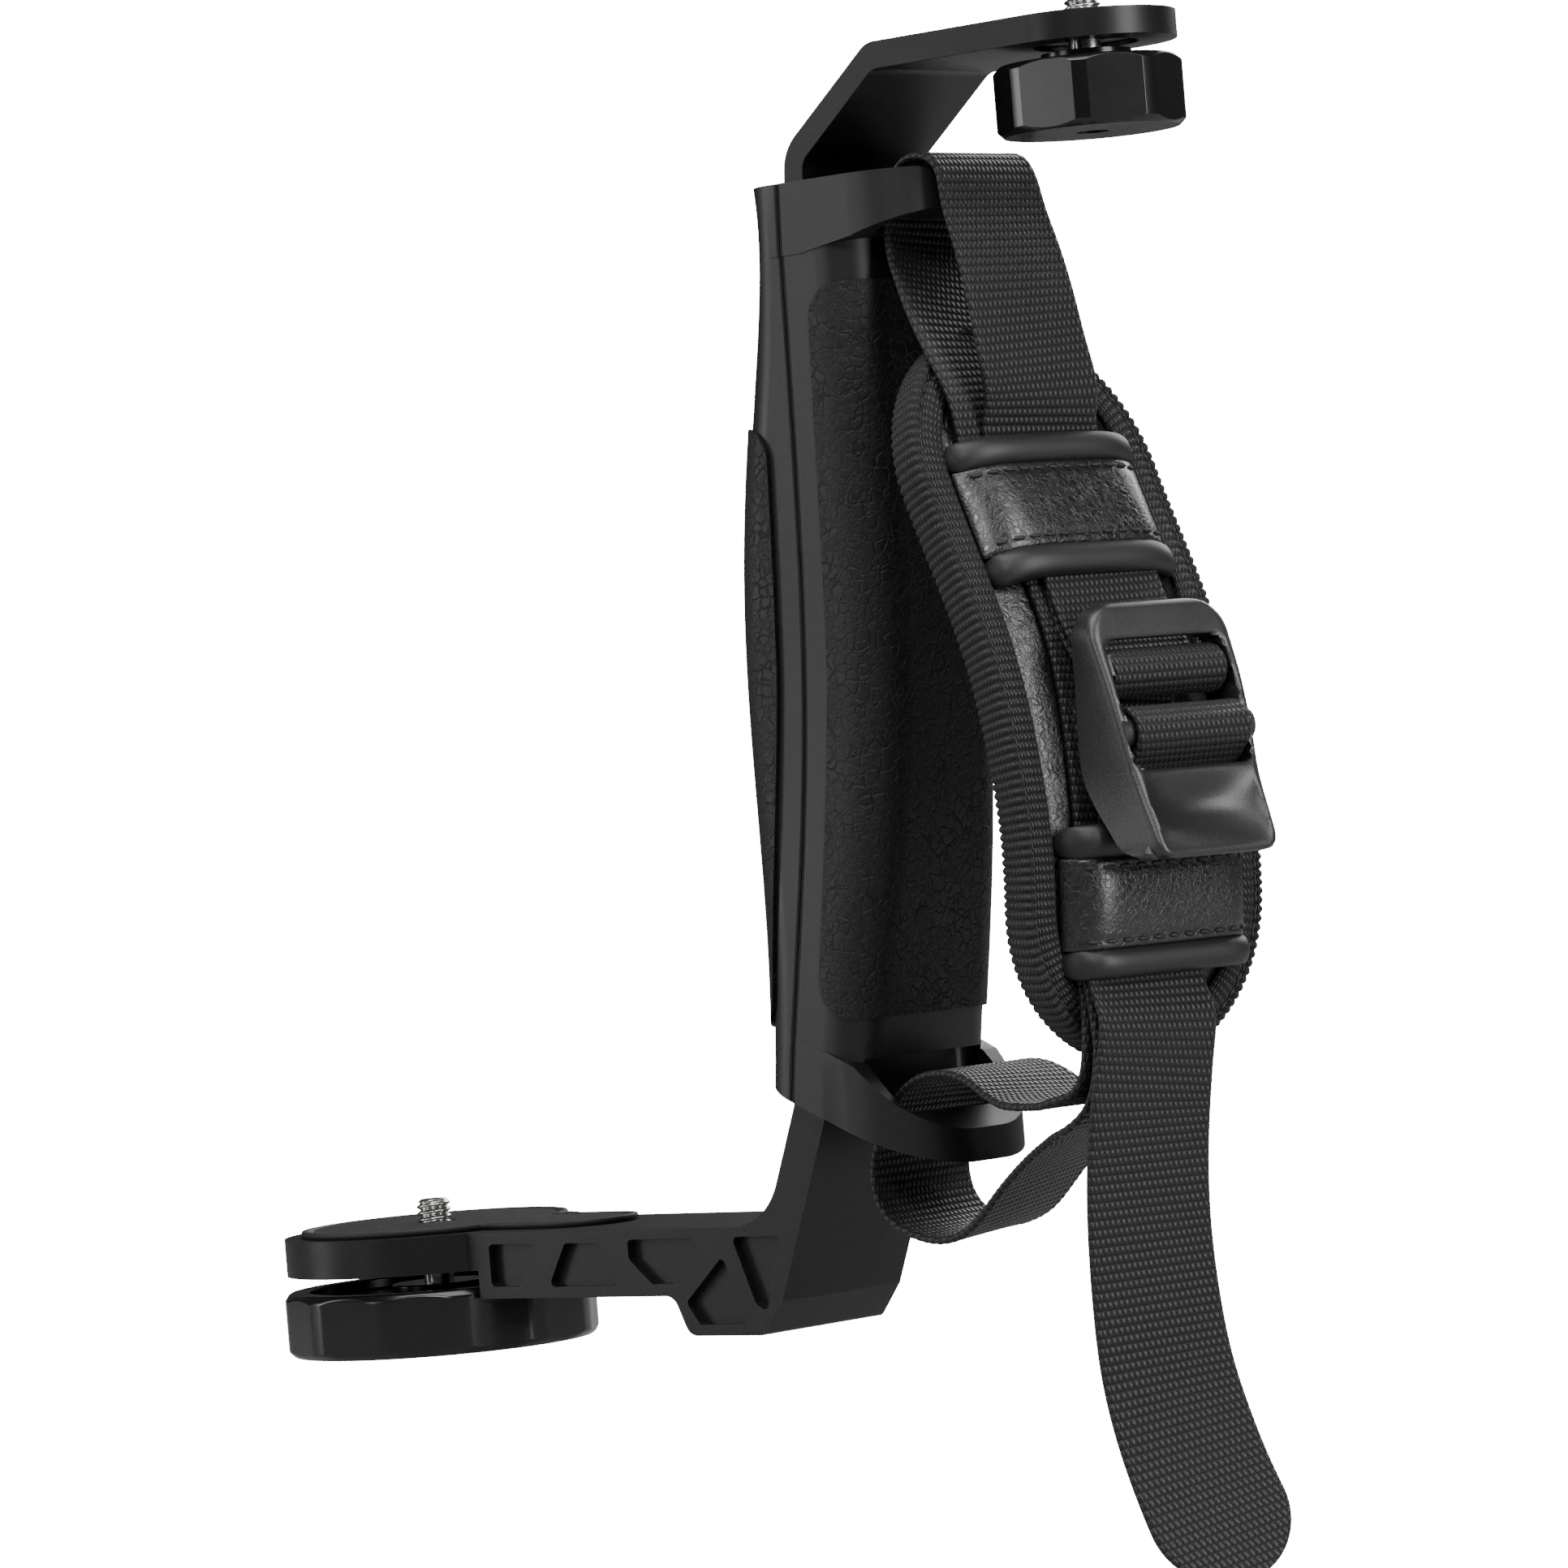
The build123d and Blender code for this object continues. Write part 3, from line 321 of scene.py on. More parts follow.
# the ribs are laid as lines cut to the outline, and a node tree gives each its section
line_points, line_edges = [], []
slant, walk = radians(45), 0.25
along, aside = Vector((cos(slant), sin(slant), 0)), Vector((-sin(slant), cos(slant), 0))
for k in range(-22, 23):
    inside_before, start = False, None
    for step in range(-260, 261):
        spot = aside * (k * rib_pitch) + along * (step * walk)
        distance = spot.length
        within = screw_gap + 1.0 < distance < pad_reach(atan2(spot.y, spot.x), rim_width + 0.9)
        if within and not inside_before:
            start = spot
        if inside_before and not within and (spot - start).length > 1.5:
            line_points += [start, spot - along * walk]
            line_edges.append((len(line_points) - 2, len(line_points) - 1))
        inside_before = within
lines = bpy.data.meshes.new("rib_lines")
lines.from_pydata([(p + Vector((0, 0, pad_top - rib_height))) * mm for p in line_points],
                  line_edges, [])
rubber_ribs = new_object("rubber_pad_ribs", lines)


def node_tool(name, inputs):
    """A geometry node tree with named inputs; inputs are name: (kind, value)."""
    tree = bpy.data.node_groups.new(name, "GeometryNodeTree")
    tree.interface.new_socket("Geometry", in_out="INPUT", socket_type="NodeSocketGeometry")
    for key, (kind, value) in inputs.items():
        socket = tree.interface.new_socket(key, in_out="INPUT", socket_type=kind)
        if value is not None:
            socket.default_value = value
    tree.interface.new_socket("Geometry", in_out="OUTPUT", socket_type="NodeSocketGeometry")
    add_inside = node_adder(tree)
    return tree, add_inside, add_inside("NodeGroupInput")


def keep_result(piece):
    """Makes what a piece's modifiers show its plain mesh, and drops the modifiers."""
    bpy.context.view_layer.update()
    shown = piece.evaluated_get(bpy.context.evaluated_depsgraph_get())
    made = bpy.data.meshes.new_from_object(shown)
    piece.modifiers.clear()
    piece.data = made
    return made


def close_tool(add, entry, made):
    """Ends a node tree with real geometry in its material."""
    solid = add("GeometryNodeRealizeInstances", {"Geometry": made})
    painted = add("GeometryNodeSetMaterial", {
        "Geometry": solid, "Material": entry.outputs["Material"]})
    add("NodeGroupOutput", {"Geometry": painted})


def run_tool(piece, tree, values):
    """Runs a node tree on a piece, keeps the result as its plain mesh and drops the modifier."""
    modifier = piece.modifiers.new("tool", "NODES")
    modifier.node_group = tree
    for socket in tree.interface.items_tree:
        if socket.item_type == "SOCKET" and socket.in_out == "INPUT" and socket.name in values:
            modifier[socket.identifier] = values[socket.name]
    keep_result(piece)


rib_tool, add, entry = node_tool("rib_maker", {
    "Width": ("NodeSocketFloat", 0.001), "Height": ("NodeSocketFloat", 0.0005),
    "Material": ("NodeSocketMaterial", None)})
lines_in = add("GeometryNodeMeshToCurve", {"Mesh": entry.outputs["Geometry"]})
half_width = add("MULTIPLY", (entry.outputs["Width"], 0.5))
section = add("GeometryNodeCurvePrimitiveCircle", {"Resolution": 10, "Radius": 1.0})
size = add("ShaderNodeCombineXYZ", {"X": half_width, "Y": entry.outputs["Height"], "Z": 1.0})
oval = add("GeometryNodeTransform", {"Geometry": section.outputs["Curve"], "Scale": size})
swept = add("GeometryNodeCurveToMesh", {"Curve": lines_in, "Profile Curve": oval,
                                        "Fill Caps": True})
close_tool(add, entry, swept)

pad_rubber = hard_finish("pad_rubber", (0.008, 0.008, 0.008), 0.62, grain_size=0.5,
                         grain_depth=0.03,
                         patch=9, amount=0.16)
rubber_pad.data.materials.append(pad_rubber)
run_tool(rubber_ribs, rib_tool, {"Width": rib_width * mm, "Height": rib_height * mm * 0.92,
                                 "Material": pad_rubber})
for piece in (rubber_pad, rubber_ribs):
    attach(piece, "frame")
    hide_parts("lower_rubber_pad")

# ---- thumb screws ---------------------------------------------------------------------
# Turned 1/4"-20 studs of bright steel, pressed into turned knobs of gloss black metal with
# flats round the rim.  A snap ring in each stud's groove keeps it captive in its bracket.
thread_pitch, thread_r, thread_root, shank_r = 1.27, 3.175, 2.55, 2.85


def threaded_stud(name, centre_x, bottom, shoulder, top):
    """Stud with a plain shank from bottom to shoulder and a cut thread from there to top."""
    sides, points = 64, []
    heights = [bottom, shoulder - 0.05]
    count = ceil((top - shoulder) / (thread_pitch / 14))
    heights += [shoulder + (top - shoulder) * i / count for i in range(count + 1)]
    for z in heights:
        for i in range(sides):
            a = 2 * pi * i / sides
            radius = shank_r
            if z >= shoulder:
                lift = ((z - shoulder) / thread_pitch - a / (2 * pi)) % 1.0
                ridge = min(1.0, max(0.0, 1.35 - abs(lift - 0.5) * 3.1))
                radius = thread_root + (thread_r - thread_root) * ridge
                radius = min(radius, thread_root - 0.25 + (top - z) * 1.3)
            points.append((centre_x + radius * cos(a), radius * sin(a), z))
    faces = tube_faces(len(heights), sides)
    faces.append(tuple(range(sides - 1, -1, -1)))
    last = (len(heights) - 1) * sides
    faces.append(tuple(range(last, last + sides)))
    stud = new_mesh_object(name, points, faces)
    stud.data.set_sharp_from_angle(angle=radians(50))
    return stud


stud_steel = hard_finish("stud_steel", (0.58, 0.57, 0.55), 0.24, metallic=1.0, grain_size=0.35,
                         grain_depth=0.006, patch=3, amount=0.12)
knob_black = hard_finish("knob_black", (0.006, 0.006, 0.006), 0.20, metallic=0.2, grain_size=0.18,
                         grain_depth=0.004, patch=12, amount=0.10, specular=0.6)
for end, axis_x in (("lower", 0.0), ("upper", 180.8)):
    low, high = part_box(end + "_stud")
    face = 0.0 if end == "lower" else 202.8
    stud = threaded_stud(end + "_stud_finished", axis_x, 1000 * low.z, face - 1.3, 1000 * high.z)
    stud.data.materials.append(stud_steel)
    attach(stud, end + "_screw")
    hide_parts(end + "_stud")
    eased_copy(end + "_knob", 0.35, knob_black, end + "_screw", sharp=17)
    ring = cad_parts[end + "_retaining_clip"]
    ring.data.materials.clear()
    ring.data.materials.append(stud_steel)

# ---- handle shells and inner frame ------------------------------------------------------
# Two moulded shells with a soft-touch coat, screwed together through the bracket tangs.
# The spine plate and its screws join the brackets inside.
def natural_line(stations, step):
    """Points every step along a smooth curve through the stations."""
    known = np.asarray(stations, float)
    gaps = np.linalg.norm(np.diff(known[:, :3], axis=0), axis=1)
    at = np.concatenate([[0], np.cumsum(gaps)])
    n = len(at)
    matrix, right = np.zeros((n, n)), np.zeros((n, known.shape[1]))
    matrix[0, 0] = matrix[-1, -1] = 1
    for i in range(1, n - 1):
        matrix[i, i - 1], matrix[i, i + 1] = gaps[i - 1], gaps[i]
        matrix[i, i] = 2 * (gaps[i - 1] + gaps[i])
        right[i] = 6 * ((known[i + 1] - known[i]) / gaps[i]
                        - (known[i] - known[i - 1]) / gaps[i - 1])
    bend = np.linalg.solve(matrix, right)
    count = max(2, int(round(at[-1] / step)))
    wanted = np.linspace(0, at[-1], count + 1)
    k = np.clip(np.searchsorted(at, wanted, side="right") - 1, 0, n - 2)
    h, t = gaps[k][:, None], (wanted - at[k])[:, None]
    before, after = h - t, t
    values = (bend[k] * before ** 3 + bend[k + 1] * after ** 3) / (6 * h)
    values += ((known[k] / h - bend[k] * h / 6) * before
               + (known[k + 1] / h - bend[k + 1] * h / 6) * after)
    return values


core_lean = radians(5.05)
grip_foot, grip_rise, grip_base_x, grip_bow, grip_corner = 21.0, 159.6, 111.0, 2.2, 8.0
# height, two fillers, half width, depth behind and in front of the parting face
skin_levels = natural_line([(z, 0, 0, half, rear, front) for z, half, rear, front in (
    (12.0, 19.5, 8.8, 15.0), (43.0, 18.8, 10.0, 15.6), (64.0, 17.6, 13.2, 17.2),
    (93.0, 16.9, 16.8, 17.6),
    (121.0, 17.5, 16.4, 16.9), (149.0, 18.6, 12.2, 16.0), (180.6, 19.5, 10.0, 15.5))], 0.5)


def skin_distance(x, y, z):
    """How far points stand outside the handle's skin, in millimetres."""
    rise = z - grip_foot
    parting = grip_base_x + tan(core_lean) * rise + grip_bow * np.sin(pi * rise / grip_rise)
    half, rear, front = (np.interp(z, skin_levels[:, 0], skin_levels[:, k]) for k in (3, 4, 5))
    dx = np.abs(x - parting - (front - rear) / 2) - (front + rear) / 2 + grip_corner
    dy = np.abs(y) - half + grip_corner
    outside = np.hypot(np.maximum(dx, 0), np.maximum(dy, 0))
    return np.minimum(np.maximum(dx, dy), 0) + outside - grip_corner


def smooth_skin(piece, proud):
    """Keeps a piece's eased mesh and shades what lies on the handle's skin as one smooth curve."""
    mesh = keep_result(piece)
    spots, corner = np.zeros(3 * len(mesh.vertices)), np.zeros(len(mesh.loops), np.int64)
    mesh.vertices.foreach_get("co", spots)
    mesh.loops.foreach_get("vertex_index", corner)
    x, y, z = 1000 * spots.reshape(-1, 3)[corner].T
    step = 0.2
    slope = np.array([skin_distance(x + step, y, z) - skin_distance(x - step, y, z),
                      skin_distance(x, y + step, z) - skin_distance(x, y - step, z),
                      skin_distance(x, y, z + step) - skin_distance(x, y, z - step)]).T
    slope /= np.linalg.norm(slope, axis=1)[:, None]
    shown, facing = np.zeros(3 * len(mesh.loops)), np.zeros(3 * len(mesh.polygons))
    mesh.corner_normals.foreach_get("vector", shown)
    mesh.polygons.foreach_get("normal", facing)
    counts = np.zeros(len(mesh.polygons), np.int64)
    mesh.polygons.foreach_get("loop_total", counts)
    facing = np.repeat(facing.reshape(-1, 3), counts, axis=0)
    on_skin = (np.abs(skin_distance(x, y, z) - proud) < 0.4) & (np.sum(facing * slope,
                                                                       axis=1) > 0.9)
    mesh.normals_split_custom_set(np.where(on_skin[:, None], slope, shown.reshape(-1, 3)).tolist())


# parting_seam: the fine groove where the two shells meet, along their leaning bowed face; it gives
# the groove's bump and also the painted shade that blackens the shell's colour in it
parting_seam, add, entry = new_group(
    "parting_seam", {"Width": ("NodeSocketFloat", 0.0006)}, {"Height": "NodeSocketFloat"})
where = add("ShaderNodeTexCoord")
axes = add("ShaderNodeSeparateXYZ", {0: where.outputs["Object"]})
up = add("SUBTRACT", (axes.outputs["Z"], grip_foot * mm))
half_turn = add("MULTIPLY", (up, pi / (grip_rise * mm)))
arch = add("SINE", (half_turn,))
bowed = add("MULTIPLY_ADD", (arch, grip_bow * mm, grip_base_x * mm))
leaning = add("MULTIPLY_ADD", (up, tan(core_lean), bowed))
past = add("SUBTRACT", (axes.outputs["X"], leaning))
away = add("ABSOLUTE", (past,))
lip = add("ShaderNodeMapRange", {"Value": away, "From Min": 0.0,
                                 "From Max": entry.outputs["Width"]},
          interpolation_type="SMOOTHSTEP")
add("NodeGroupOutput", {"Height": lip})

shell_black, add = new_material("shell_black")
worn = group_node(add, handling, {"Color": (0.0055, 0.0055, 0.006, 1), "Roughness": 0.44,
                                  "Patch size": 22 * mm, "Amount": 0.10})
speckle = group_node(add, grain, {"Grain size": 0.20 * mm})
seam = group_node(add, parting_seam, {"Width": 0.75 * mm})
grainy = add("ShaderNodeBump", {"Height": speckle.outputs["Height"], "Strength": 1.0,
                                "Distance": 0.010 * mm})
grooved = add("ShaderNodeBump", {"Height": seam.outputs["Height"], "Normal": grainy,
                                 "Strength": 1.0, "Distance": 0.45 * mm})
# painted shade: the shell's colour fades to black in the parting groove between the two shells
shade = add("ShaderNodeVectorMath", {0: worn.outputs["Color"], 3: seam.outputs["Height"]},
            operation="SCALE")
surface = add("ShaderNodeBsdfPrincipled", {"Base Color": shade,
                                           "Roughness": worn.outputs["Roughness"],
                                           "Normal": grooved})
add("ShaderNodeOutputMaterial", {"Surface": surface})
for node in ("front_shell", "rear_shell"):
    smooth_skin(eased_copy(node, 0.40, shell_black, "frame", sharp=32), 0.0)
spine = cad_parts["spine_plate"]
spine.data.materials.clear()
spine.data.materials.append(bracket_black)

core_front, core_rest_z = 122.35 + tan(core_lean) * (100 - 118), 100.0
core_up, core_out = Vector((sin(core_lean), 0, cos(core_lean))), Vector((cos(core_lean), 0,
                                                                         -sin(core_lean)))
core_point = Vector((core_front, 0, core_rest_z))

screw_tool, add, entry = node_tool("screw_maker", {
    "Head radius": ("NodeSocketFloat", 0.003), "Head height": ("NodeSocketFloat", 0.002),
    "Socket radius": ("NodeSocketFloat", 0.0014), "Shank radius": ("NodeSocketFloat", 0.0015),
    "Shank length": ("NodeSocketFloat", 0.018), "Facing": ("NodeSocketVector", (0, 0, 1)),
    "Material": ("NodeSocketMaterial", None)})
deep = add("MULTIPLY", (entry.outputs["Head height"], 1.4))
head = add("GeometryNodeMeshCylinder", {"Vertices": 32, "Radius": entry.outputs["Head radius"],
                                        "Depth": entry.outputs["Head height"]})
key = add("GeometryNodeMeshCylinder", {"Vertices": 6, "Radius": entry.outputs["Socket radius"],
                                       "Depth": deep})
half_head = add("MULTIPLY", (entry.outputs["Head height"], 0.5))
raise_head = add("ShaderNodeCombineXYZ", {"Z": half_head})
raise_key = add("ShaderNodeCombineXYZ", {"Z": deep})
head_up = add("GeometryNodeTransform", {"Geometry": head, "Translation": raise_head})
key_up = add("GeometryNodeTransform", {"Geometry": key, "Translation": raise_key})
cut = add("GeometryNodeMeshBoolean", {"Mesh 1": head_up, "Mesh 2": key_up},
          operation="DIFFERENCE")
shank = add("GeometryNodeMeshCylinder", {"Vertices": 20, "Radius": entry.outputs["Shank radius"],
                                         "Depth": entry.outputs["Shank length"]})
half_shank = add("MULTIPLY", (entry.outputs["Shank length"], -0.499))
lower_shank = add("ShaderNodeCombineXYZ", {"Z": half_shank})
shank_down = add("GeometryNodeTransform", {"Geometry": shank,
                                           "Translation": lower_shank})
screw = add("GeometryNodeJoinGeometry")
for part in (cut, shank_down):
    screw.id_data.links.new(part.outputs[0], screw.inputs[0])
aim = add("FunctionNodeAlignRotationToVector", {"Vector": entry.outputs["Facing"]}, axis="Z")
spread = add("GeometryNodeInstanceOnPoints", {"Points": entry.outputs["Geometry"],
                                              "Instance": screw, "Rotation": aim})
close_tool(add, entry, spread)

screw_black = hard_finish("screw_black", (0.045, 0.045, 0.047), 0.32, metallic=0.9, grain_size=0.3,
                          grain_depth=0.005, patch=2, amount=0.1)
for name, heights, out, facing, sizes in (
    ("frame_screws", (-44.0, -28.0, 26.0, 42.0), 3.0, 1, (3.8, 2.2, 1.4, 2.0, 7.2)),
    ("shell_screws", (-57.0, 0.0, 58.0), -7.6, -1, (2.8, 1.8, 1.3, 1.5, 18.0)),
):
    spots = bpy.data.meshes.new(name)
    spots.from_pydata([(core_point + core_up * v + core_out * out) * mm for v in heights], [], [])
    screws = new_object(name + "_finished", spots)
    run_tool(screws, screw_tool, {
        "Head radius": sizes[0] * mm, "Head height": sizes[1] * mm, "Socket radius": sizes[2] * mm,
        "Shank radius": sizes[3] * mm, "Shank length": sizes[4] * mm,
        "Facing": core_out * facing, "Material": screw_black})
    screws.data.shade_smooth()
    screws.data.set_sharp_from_angle(angle=radians(35))
    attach(screws, "frame")
    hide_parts(name)

# ---- grip panels ------------------------------------------------------------------------
# Rubber skins moulded with a coarse leather grain, glued in seats front and back of the
# handle so that they stand a little proud of the shells.
leather_cells, add, entry = new_group(
    "leather_cells",
    {"Cell size": ("NodeSocketFloat", 0.002), "Warp": ("NodeSocketFloat", 0.4),
     "Crease": ("NodeSocketFloat", 0.25), "Pores": ("NodeSocketFloat", 0.3)},
    {"Height": "NodeSocketFloat", "Crease": "NodeSocketFloat"})
where = add("ShaderNodeTexCoord")
scale = add("DIVIDE", (1.0, entry.outputs["Cell size"]))
scaled = add("ShaderNodeVectorMath", {0: where.outputs["Object"], 3: scale}, operation="SCALE")
drift = add("ShaderNodeTexNoise", {"Vector": scaled, "Scale": 0.9, "Detail": 3.0})
centred = add("ShaderNodeVectorMath", {0: drift.outputs["Color"], 1: (0.5, 0.5, 0.5)},
              operation="SUBTRACT")
pulled = add("ShaderNodeVectorMath", {0: centred, 3: entry.outputs["Warp"]}, operation="SCALE")
warped = add("ShaderNodeVectorMath", {0: scaled, 1: pulled}, operation="ADD")
cells = add("ShaderNodeTexVoronoi", {"Vector": warped, "Scale": 1.0, "Randomness": 1.0},
            feature="DISTANCE_TO_EDGE")
small_cells = add("ShaderNodeTexVoronoi", {"Vector": warped, "Scale": 2.3, "Randomness": 1.0},
                  feature="DISTANCE_TO_EDGE")
cell_edge, small_edge = (
    add("ShaderNodeMapRange", {"Value": net.outputs["Distance"], "From Min": 0.0,
                               "From Max": entry.outputs["Crease"], "To Min": 1.0, "To Max": 0.0},
        interpolation_type="SMOOTHSTEP") for net in (cells, small_cells))
fading = add("ShaderNodeTexNoise", {"Vector": scaled, "Scale": 0.55, "Detail": 2.0})
strong = add("ShaderNodeMapRange", {"Value": fading, "From Min": 0.36, "From Max": 0.62,
                                    "To Min": 0.15, "To Max": 1.0})
weak = add("SUBTRACT", (1.0, strong))
weaker = add("MULTIPLY", (weak, 0.6))
big_crease = add("MULTIPLY", (cell_edge, strong))
small_crease = add("MULTIPLY", (small_edge, weaker))
crease_all = add("MAXIMUM", (big_crease, small_crease))
plateau = add("SUBTRACT", (1.0, crease_all))
pores = add("ShaderNodeTexNoise", {"Vector": scaled, "Scale": 5.0, "Detail": 3.0,
                                   "Roughness": 0.65})
mixed = add("MULTIPLY_ADD", (pores, entry.outputs["Pores"], plateau))
swell = add("MULTIPLY_ADD", (drift, 0.5, mixed))
add("NodeGroupOutput", {"Height": swell, "Crease": crease_all})


def leather_finish(name, colour, roughness, cell, depth, warp=0.8, crease=0.3, pores=0.1,
                   specular=0.5,
                   coat=0.0):
    """Leather or leather-grained rubber: rounded cells between creases, duller in the creases and
    darkened there with painted shade.
    """
    material, add = new_material(name)
    worn = group_node(add, handling, {
        "Color": (*colour, 1), "Roughness": roughness, "Patch size": 14 * mm, "Amount": 0.14})
    hide = group_node(add, leather_cells, {
        "Cell size": cell * mm, "Warp": warp, "Crease": crease, "Pores": pores})
    dull = add("MULTIPLY_ADD", (hide.outputs["Crease"], 0.22, worn.outputs["Roughness"]))
    # painted shade: the colour is darkened by up to 45 percent in the creases
    painted_shade_gain = add("MULTIPLY_ADD", (hide.outputs["Crease"], -0.45, 1.0))
    shade = add("ShaderNodeVectorMath", {0: worn.outputs["Color"], 3: painted_shade_gain}, operation="SCALE")
    bump = add("ShaderNodeBump", {"Height": hide.outputs["Height"], "Strength": 1.0,
                                  "Distance": depth * mm})
    surface = add("ShaderNodeBsdfPrincipled", {
        "Base Color": shade, "Roughness": dull, "Normal": bump,
        "Specular IOR Level": specular, "Coat Weight": coat, "Coat Roughness": 0.25})
    add("ShaderNodeOutputMaterial", {"Surface": surface})
    return material


grip_rubber = leather_finish("grip_rubber", (0.004, 0.004, 0.0042), 0.50, 2.1, 0.15, warp=1.1,
                             crease=0.13,
                             pores=0.12, specular=0.42)
for node, ease in (("front_grip_panel", 0.40), ("rear_grip_panel", 0.70)):
    smooth_skin(eased_copy(node, ease, grip_rubber, "frame", sharp=35), 0.8)

# ---- hand strap pad: cushion ------------------------------------------------------------
# A foam pad faced with wrinkled glossy leather, a little turned about the vertical.  It is
# fuller in the middle and pulled thin where the binding is sewn round it.
strap_turn, strap_axis_x = radians(8.0), 165.0
cushion_half, cushion_top, cushion_bottom, cushion_wide = 3.3, 149.0, 27.5, 24.0
binding_cover = 2.6

pad_line = natural_line([(x, z, 0) for x, z in (
    (147.5, 158), (155.0, 138.8), (160.2, 124.8), (167.3, 108.8), (173.5, 92.8), (177.0, 76),
    (178.2, 62), (177.3, 46), (176.4, 24), (176.2, 16))], 0.5)[:, :2]
pad_slope = np.gradient(pad_line, axis=0)
pad_slope /= np.linalg.norm(pad_slope, axis=1)[:, None]


def beside_pad(z, off):
    """Side-view point standing off the pad's middle line at height z, outwards for plus."""
    k = np.interp(-z, -pad_line[:, 1], np.arange(len(pad_line)))
    x, height = (np.interp(k, np.arange(len(pad_line)), pad_line[:, i]) for i in (0, 1))
    slope = [np.interp(k, np.arange(len(pad_line)), pad_slope[:, i]) for i in (0, 1)]
    return float(x - slope[1] * off), float(height + slope[0] * off)


def strap_point(x, y, z):
    """Row-frame point from the strap's own along, across and up."""
    return (strap_axis_x + (x - strap_axis_x) * cos(strap_turn) + y * sin(strap_turn),
            -(x - strap_axis_x) * sin(strap_turn) + y * cos(strap_turn), z)


def on_pad(z, off, y):
    x, height = beside_pad(z, off)
    return strap_point(x, y, height)


def pad_edge(turn, grow):
    """Across and up of a point on the pad's round-ended outline, and its outward direction."""
    middle = (cushion_top + cushion_bottom) / 2
    straight = (cushion_top - cushion_bottom) / 2 - cushion_wide
    half = cushion_wide + grow
    quarter, side = pi * half / 2, 2 * straight
    whole = 2 * side + 4 * quarter
    s = (turn % 1.0) * whole
    if s < 2 * quarter:
        a = s / half
        return half * cos(a), middle + straight + half * sin(a), cos(a), sin(a)
    if s < 2 * quarter + side:
        return -half, middle + straight - (s - 2 * quarter), -1.0, 0.0
    if s < 4 * quarter + side:
        a = pi + (s - 2 * quarter - side) / half
        return half * cos(a), middle - straight + half * sin(a), cos(a), sin(a)
    return half, middle - straight + (s - 4 * quarter - side), 1.0, 0.0


around, rows = 220, 16
inner_half = cushion_wide - binding_cover + 0.6
points, faces = [], []
for face in (1, -1):
    for k in range(rows + 1):
        share = k / rows
        lift = cushion_half * (0.42 + 0.58 * min(1.0, (1 - share) * 3.2) ** 0.55)
        for i in range(around):
            y, z, dy, dz = pad_edge(i / around, inner_half - cushion_wide)
            middle_z = min(max(z, cushion_bottom + cushion_wide), cushion_top - cushion_wide)
            y, z = y * share, middle_z + (z - middle_z) * share
            points.append(on_pad(z, face * lift, y))
    base = 0 if face == 1 else (rows + 1) * around
    for k in range(rows):
        for i in range(around):
            j = (i + 1) % around
            quad = (base + k * around + i, base + k * around + j, base + (k + 1) * around + j,
                    base + (k + 1) * around + i)
            faces.append(quad if face == -1 else quad[::-1])
edge_a, edge_b = rows * around, (2 * rows + 1) * around
for i in range(around):
    j = (i + 1) % around
    faces.append((edge_a + i, edge_b + i, edge_b + j, edge_a + j))
cushion = new_mesh_object("cushion", points, faces)
tidy = bmesh.new()
tidy.from_mesh(cushion.data)
bmesh.ops.remove_doubles(tidy, verts=tidy.verts, dist=2e-5)
bmesh.ops.recalc_face_normals(tidy, faces=tidy.faces)
tidy.to_mesh(cushion.data)
tidy.free()
pad_leather = leather_finish("pad_leather", (0.006, 0.006, 0.006), 0.27, 1.7, 0.075, warp=1.5,
                             crease=0.22, pores=0.05, specular=0.6)
cushion.data.materials.append(pad_leather)
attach(cushion, "frame")
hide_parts("pad_cushion")

# ---- hand strap pad: binding ------------------------------------------------------------
# Ribbed grosgrain tape folded round the pad's edge over a soft core: a full outer roll, a
# sewn seam, and a flatter inner row that lies on the leather, the same on both faces.
rib = 1.45
edge_length = 2 * ((cushion_top - cushion_bottom) - 2 * cushion_wide) + 2 * pi * cushion_wide
rib_count = int(round(edge_length / rib))
per_rib = 6
# across the pad's edge from the outer face round to the inner face: outward, off, rib share
half_profile = [(-3.1, 2.75, 0.0), (-3.0, 3.15, 0.3), (-2.2, 3.45, 0.9), (-1.0, 3.55, 1.0),
                (0.2, 3.45, 1.0),
                (1.0, 3.15, 0.7), (1.35, 2.70, 0.1), (1.55, 2.75, 0.2), (1.8, 3.20, 0.8),
                (2.2, 3.45, 1.0), (2.7, 3.30, 1.0), (3.1, 2.85, 1.0), (3.35, 2.1, 1.0),
                (3.45, 1.1, 1.0)]
profile = half_profile + [(3.48, 0.0, 1.0)] + [(w, -off, share) for w, off,
                                               share in half_profile[::-1]]
profile += [(-2.6, -1.6, 0.0), (-2.6, 1.6, 0.0)]
points, faces, uvs = [], [], []
steps = rib_count * per_rib
for i in range(steps):
    wave = abs(sin(pi * i / per_rib)) - 0.5
    y0, z0, dy, dz = pad_edge(i / steps, 0.0)
    for k, (w, off, share) in enumerate(profile):
        swell = 0.32 * wave * share
        reach = w + (swell if w > 2.0 else 0.0)
        height = off + (swell if off > 0 else -swell) * (1.0 if abs(off) > 1.0 else 0.0)
        points.append(on_pad(z0 + dz * reach, height, y0 + dy * reach))
        uvs.append((k * 0.7 * mm, i * rib / per_rib * mm))
n = len(profile)
for i in range(steps):
    j = (i + 1) % steps
    for k in range(n):
        m = (k + 1) % n
        faces.append((i * n + k, j * n + k, j * n + m, i * n + m))


def outward(piece):
    """Turns every face of a closed piece outwards."""
    shape = bmesh.new()
    shape.from_mesh(piece.data)
    bmesh.ops.recalc_face_normals(shape, faces=shape.faces)
    shape.to_mesh(piece.data)
    shape.free()
    return piece


binding = outward(new_mesh_object("binding", points, faces, uvs))

